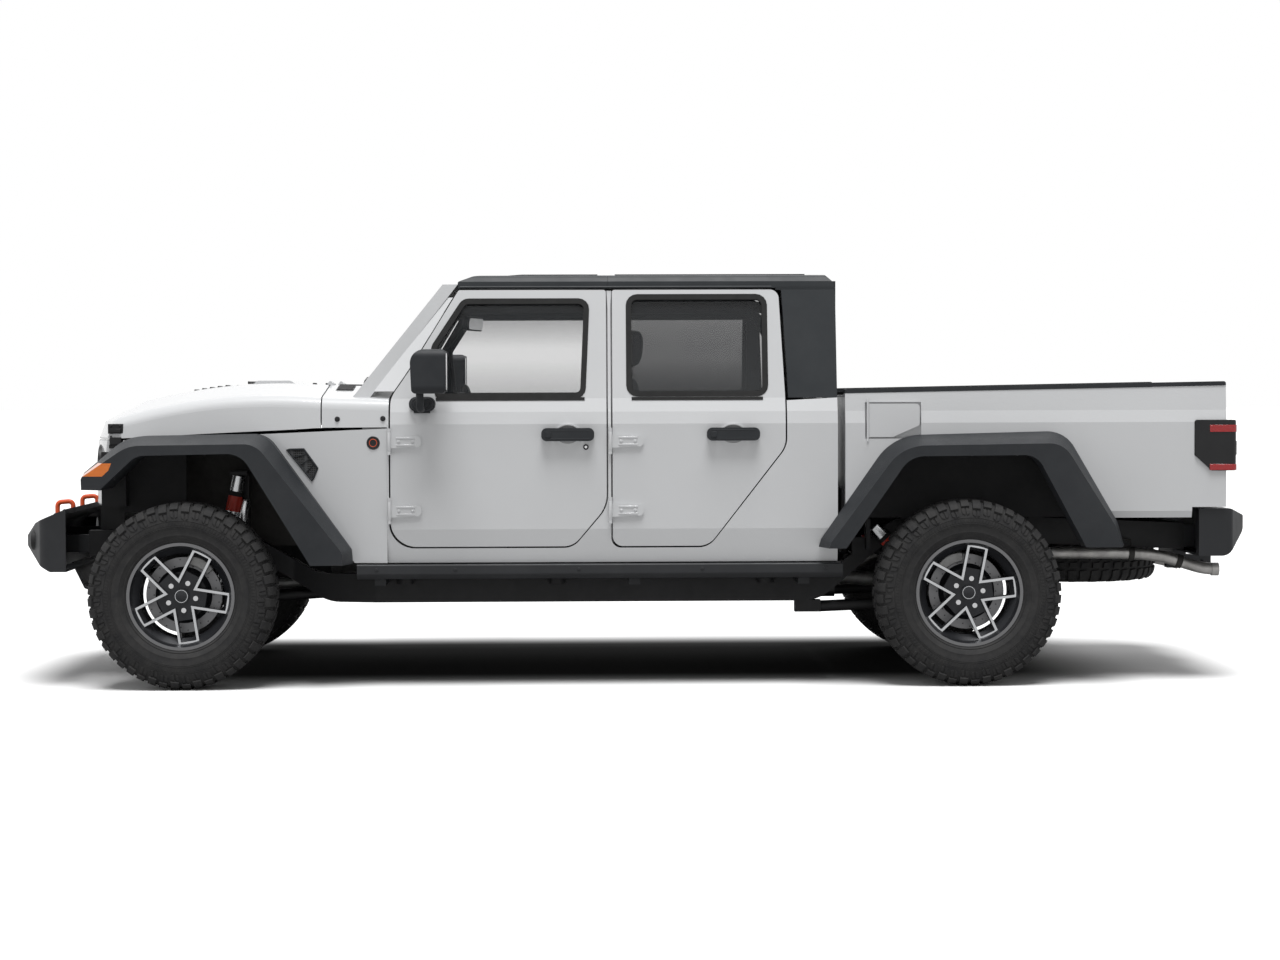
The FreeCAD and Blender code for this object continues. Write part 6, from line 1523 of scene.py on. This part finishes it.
def puff(thing):
    # Swells a closed pad by cloth pressure; no point moves further than the cap
    bpy.context.view_layer.objects.active = thing
    grid = thing.modifiers.new("grid", "REMESH")
    grid.mode, grid.voxel_size = "VOXEL", padding["voxel"]
    even = baked(thing)
    looks = list(thing.data.materials)
    thing.modifiers.clear()
    thing.data = even
    even.materials.clear()
    for look in looks:
        even.materials.append(look)
    rest = [point.co.copy() for point in even.vertices]
    cloth = thing.modifiers.new("cloth", "CLOTH")
    cloth.settings.use_pressure = True
    cloth.settings.uniform_pressure_force = padding["pressure"]
    cloth.settings.effector_weights.gravity = 0
    scene = bpy.context.scene
    for step in range(padding["frames"]):
        scene.frame_set(step + 1)
    swollen = baked(thing)
    thing.modifiers.clear()
    scene.frame_set(1)
    for point, start, moved in zip(even.vertices, rest, swollen.vertices):
        move = moved.co - start
        if move.length > padding["cap"]:
            move *= padding["cap"] / move.length
        point.co = start + move
    bpy.data.meshes.remove(swollen)


def channel(pad, y, half, part):
    # Sewn channels pressed into the swollen pad
    spots = [-0.30, 0.30] if half < 0.3 else [-0.66, -0.22, 0.22, 0.66]
    for point in pad.data.vertices:
        for spot in spots:
            reach = abs(point.co.y - (y + spot * half * 1.6)) / padding["seam"]
            if reach < 1 and part != "Base":
                point.co.x -= padding["sunk"] * (1 - reach)
            elif reach < 1 and point.co.z > 0.76:
                point.co.z -= padding["sunk"] * (1 - reach)


def makeSeat(label, x, y, half, replaced):
    # Each pad: its side outline, its share of the seat's width and the round of its corners
    pads = {
        "Base": ([(x - 0.045, 0.665), (x + 0.455, 0.672), (x + 0.478, 0.845), (x + 0.03, 0.818)],
                 0.94, 0.035),
        "Back": ([(x - 0.030, 0.800), (x + 0.075, 0.812), (x - 0.088, 1.385), (x - 0.185, 1.385)],
                 0.88, 0.040),
        "Head": ([(x - 0.182, 1.425), (x - 0.100, 1.425), (x - 0.118, 1.590), (x - 0.200, 1.590)],
                 0.50, 0.030),
    }
    for part, (corners, share, corner) in pads.items():
        shape = Shape()
        line = softened(corners, [corner] * 4)
        wide = half * share
        middle = Vector((sum(c[0] for c in corners) / 4, sum(c[1] for c in corners) / 4))
        rings = []
        for level, size in ((-wide, 0.80), (-wide + 0.012, 0.92), (-wide + 0.04, 1.0), (0, 1.0),
                            (wide - 0.04, 1.0), (wide - 0.012, 0.92), (wide, 0.80)):
            ring = [middle + (Vector(spot) - middle) * size for spot in line]
            rings.append([(spot.x, y + level, spot.y) for spot in ring])
        shape.loft(rings)
        pad = shape.piece(f"seat{part}_{label}", "truck", "seat_cloth", "seatCloth", smooth=180)
        puff(pad)
        channel(pad, y, half, part)
        pad.data.shade_smooth()
    base = Shape()
    base.box((x + 0.02, y - half * 0.8, 0.600), (x + 0.43, y + half * 0.8, 0.664))
    for side in (1, -1):
        base.tube([(x - 0.145, y + side * 0.05, 1.375), (x - 0.145, y + side * 0.05, 1.450)], 0.006, 8, 1)
        edge = y + side * half * 0.86
        base.tube([(x - 0.020, edge, 0.790), (x + 0.03, edge, 0.805), (x + 0.24, edge, 0.838),
                   (x + 0.44, edge, 0.852)], 0.0045, 6, 0)
    foot = base.piece("seatFrame_" + label, "truck", "black_steel", "frameCoat", "chrome", bevel=0.002)
    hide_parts(replaced)


def makeDash():
    # Air vents, screen, hooded dials and the lid of the glove box
    panel = {"vents": (-0.60, -0.13, 0.13, 0.60), "ventHeight": 1.155, "screen": (0, 1.06),
             "dials": (0.37, 1.13), "dialsUp": 0.030, "dialHalf": 0.07, "lid": (-0.40, 1.02)}
    rearward = (-1, 0, 0.1)

    def onDash(y, z):
        return strike("dashboard", (0.6, y, z), (1, 0, 0))[0]

    dash = Shape()
    for y in panel["vents"]:
        place = facing(onDash(y, panel["ventHeight"]), (-1, 0, 0.12))
        dash.lathe([(0.024, 0.0), (0.038, 0.0), (0.042, 0.004), (0.042, 0.010), (0.034, 0.012),
                    (0.030, 0.006), (0.024, 0.002)], 28, place, 0, closed=True)
        for k in (-1, 0, 1):
            dash.box((-0.030, k * 0.013 - 0.002, 0.002), (0.030, k * 0.013 + 0.002, 0.008), 0, place)
    place = facing(onDash(*panel["screen"]), rearward)
    dash.prism(rounded(0.115, 0.062, 0.012, 4), -0.004, 0.012, place, 0)
    dash.prism(rounded(0.104, 0.052, 0.006, 4), 0.012, 0.0135, place, 1)
    point = onDash(*panel["dials"])
    dash.prism(rounded(0.165, 0.062, 0.050, 5), -0.010, 0.026,
               facing(point + Vector((0, 0, panel["dialsUp"])), rearward), 0, 0.94)
    for side in (-panel["dialHalf"], panel["dialHalf"]):
        face = facing(point + Vector((-0.0265, side, panel["dialsUp"])), rearward)
        dash.lathe([(0, 0), (0.046, 0), (0.050, 0.003), (0.046, 0.0035), (0.044, 0.001), (0, 0.001)],
                   32, face, 1)
        dash.lathe([(0.046, 0.001), (0.0495, 0.001), (0.0495, 0.004), (0.046, 0.004)],
                   32, face, 2, closed=True)
    dash.prism(rounded(0.165, 0.060, 0.015, 4), -0.002, 0.004,
               facing(onDash(*panel["lid"]), (-1, 0, 0.05)), 0)
    dash.piece("dashTrim", "truck", "black_plastic", "trimBlack", "screenFace", "chrome", bevel=0.001)


def makeConsole():
    # Console between the front seats with its shift lever
    console = {"outline": [(0.86, 0.70), (0.86, 0.96), (0.74, 0.90), (0.48, 0.84), (0.02, 0.86), (0.0, 0.70)],
               "rounds": [0.01, 0.05, 0.05, 0.05, 0.03, 0.01], "half": 0.105,
               "lever": (0.62, 0.615, 0.60), "leverHeights": (0.86, 0.95, 1.02), "knob": 1.035}
    shape = Shape()
    shape.prism(softened(console["outline"], console["rounds"]), -console["half"], console["half"],
                facing((0, 0, 0), (0, -1, 0)))
    shape.tube([(x, 0.03, z) for x, z in zip(console["lever"], console["leverHeights"])],
               [0.012, 0.009, 0.008], 10, 1)
    shape.lathe([(0, -0.024), (0.016, -0.020), (0.024, -0.004), (0.022, 0.014), (0.012, 0.022), (0, 0.024)],
                20, Matrix.Translation((console["lever"][-1], 0.03, console["knob"])), 1)
    shape.piece("centreConsole", "truck", "black_plastic", "dashSkin", "wheelLeather", bevel=0.004)


makeDoorTrim()
makeMirrors()
print("doors trimmed")
makeFrontTrim()
makeHoodTrim()
makeLamps()
makeTailLamps()
makeScreenTrim()
print("front, hood, lamps and screen trimmed")
makeRoofTrim()
makeBedTrim()
makeSteelTrim()
makeBrakes()
makeShockTrim()
makeLiners()
makePosts()
makeHeaders()
makeTailPipe()
makeSpare()
print("roof, bed, steel, brakes and liners made")
makeSeat("left", 0.150, 0.374, 0.214, "front_seats")
makeSeat("right", 0.150, -0.374, 0.214, "front_seats")
makeSeat("rear", -0.620, 0.0, 0.560, "rear_bench")
makeDash()
makeConsole()
print("cabin made")


# Stage, lights and camera

def makeStage():
    # A painted shadow on the floor: the keys give its middle, the reach within which it is darkest, the reach
    # where it ends and its darkness
    stage = {"far": 140, "floor": (0.94, 0.94, 0.94), "backdrop": 1.0, "sky": 0.33, "bounce": 0.48,
             "shadowAt": (0.05, -0.38), "shadowCore": (1.75, 0.66), "shadowEdge": (2.50, 1.26),
             "shadowTone": 0.05}
    shape = Shape()
    far = stage["far"]
    shape.add([(-far, -far, 0), (far, -far, 0), (far, far, 0), (-far, far, 0)], [(0, 1, 2, 3)])
    floor = shape.piece("floor", None, None)
    pale = Finish("paleFloor", rough=0.9, specular=0.0)
    tone = pale.blend(pale.noise(0.7, 2), stage["floor"], toned(stage["floor"], 0.99))
    # Painted shadow: a soft dark patch in the floor's colour deepens the lamps' shadow under the truck
    across, along = [pale.mask(abs(pale.axis(letter) - middle), edge, core, "SMOOTHSTEP") for
                     letter, middle, core, edge in zip("XY", stage["shadowAt"], stage["shadowCore"],
                                                       stage["shadowEdge"])]
    tone = pale.blend(across * along, tone, toned(stage["floor"], stage["shadowTone"]))
    # White to the camera, greyer to the light that it throws back at the truck
    seen = pale.node("ShaderNodeLightPath", {}, {}, "Is Camera Ray")
    dim = pale.blend(1.0, tone, (stage["bounce"],) * 3, "MULTIPLY")
    pale.set("colour", pale.blend(seen, dim, tone))
    floor.data.materials.append(pale.material)

    # The backdrop is white to the eye and in reflections, and a dimmer sky as a light
    world = bpy.data.worlds.new("studio")
    bpy.context.scene.world = world
    world.use_nodes = True
    tree = world.node_tree
    ground = tree.nodes["Background"]
    rays = [addNode(tree, "ShaderNodeLightPath", {}, {}, f"Is {ray} Ray")
            for ray in ("Camera", "Glossy", "Transmission")]
    level = addNode(tree, "ShaderNodeMapRange", {"clamp": True}, {
        "Value": rays[0] + rays[1] + rays[2], "To Min": stage["sky"], "To Max": stage["backdrop"]})
    feed(tree, level, ground.inputs["Strength"])
    feed(tree, (1, 1, 1), ground.inputs["Color"])


def makeLights():
    # Wide soft daylight from above, a little towards each side of the truck
    lamps = {
        "overhead": {"from": (-0.02, 0.28, 1.0), "spread": 30, "power": 3.2},
        "farSide": {"from": (-0.5, -1.0, 0.9), "spread": 60, "power": 0.75},
        "nose": {"from": (1.0, 0.35, 0.55), "spread": 60, "power": 0.32},
    }
    for name, lamp in lamps.items():
        light = bpy.data.lights.new(name, "SUN")
        light.energy = lamp["power"]
        light.angle = math.radians(lamp["spread"])
        thing = bpy.data.objects.new(name, light)
        bpy.context.scene.collection.objects.link(thing)
        thing.location = Vector(lamp["from"]) * 8
        thing.rotation_euler = (-Vector(lamp["from"])).to_track_quat("-Z", "Y").to_euler()


def makeCamera():
    view = {"at": (0.235, 12.392, 1.332), "yaw": -0.0223, "pitch": 2.05, "roll": -0.003, "lens": 73.2}
    camera = bpy.data.cameras.new("camera")
    camera.lens, camera.sensor_width = view["lens"], 36
    camera.clip_end = 400
    thing = bpy.data.objects.new("camera", camera)
    bpy.context.scene.collection.objects.link(thing)
    pitch = math.radians(view["pitch"])
    aim = Vector((math.sin(view["yaw"]) * math.cos(pitch), -math.cos(view["yaw"]) * math.cos(pitch),
                  -math.sin(pitch)))
    turn = aim.to_track_quat("-Z", "Y").to_matrix().to_4x4() @ Matrix.Rotation(view["roll"], 4, "Z")
    thing.matrix_world = Matrix.Translation(view["at"]) @ turn
    bpy.context.scene.camera = thing


makeStage()
makeLights()
makeCamera()
bpy.context.scene.view_settings.view_transform = "Standard"
print("stage, lights and camera set")
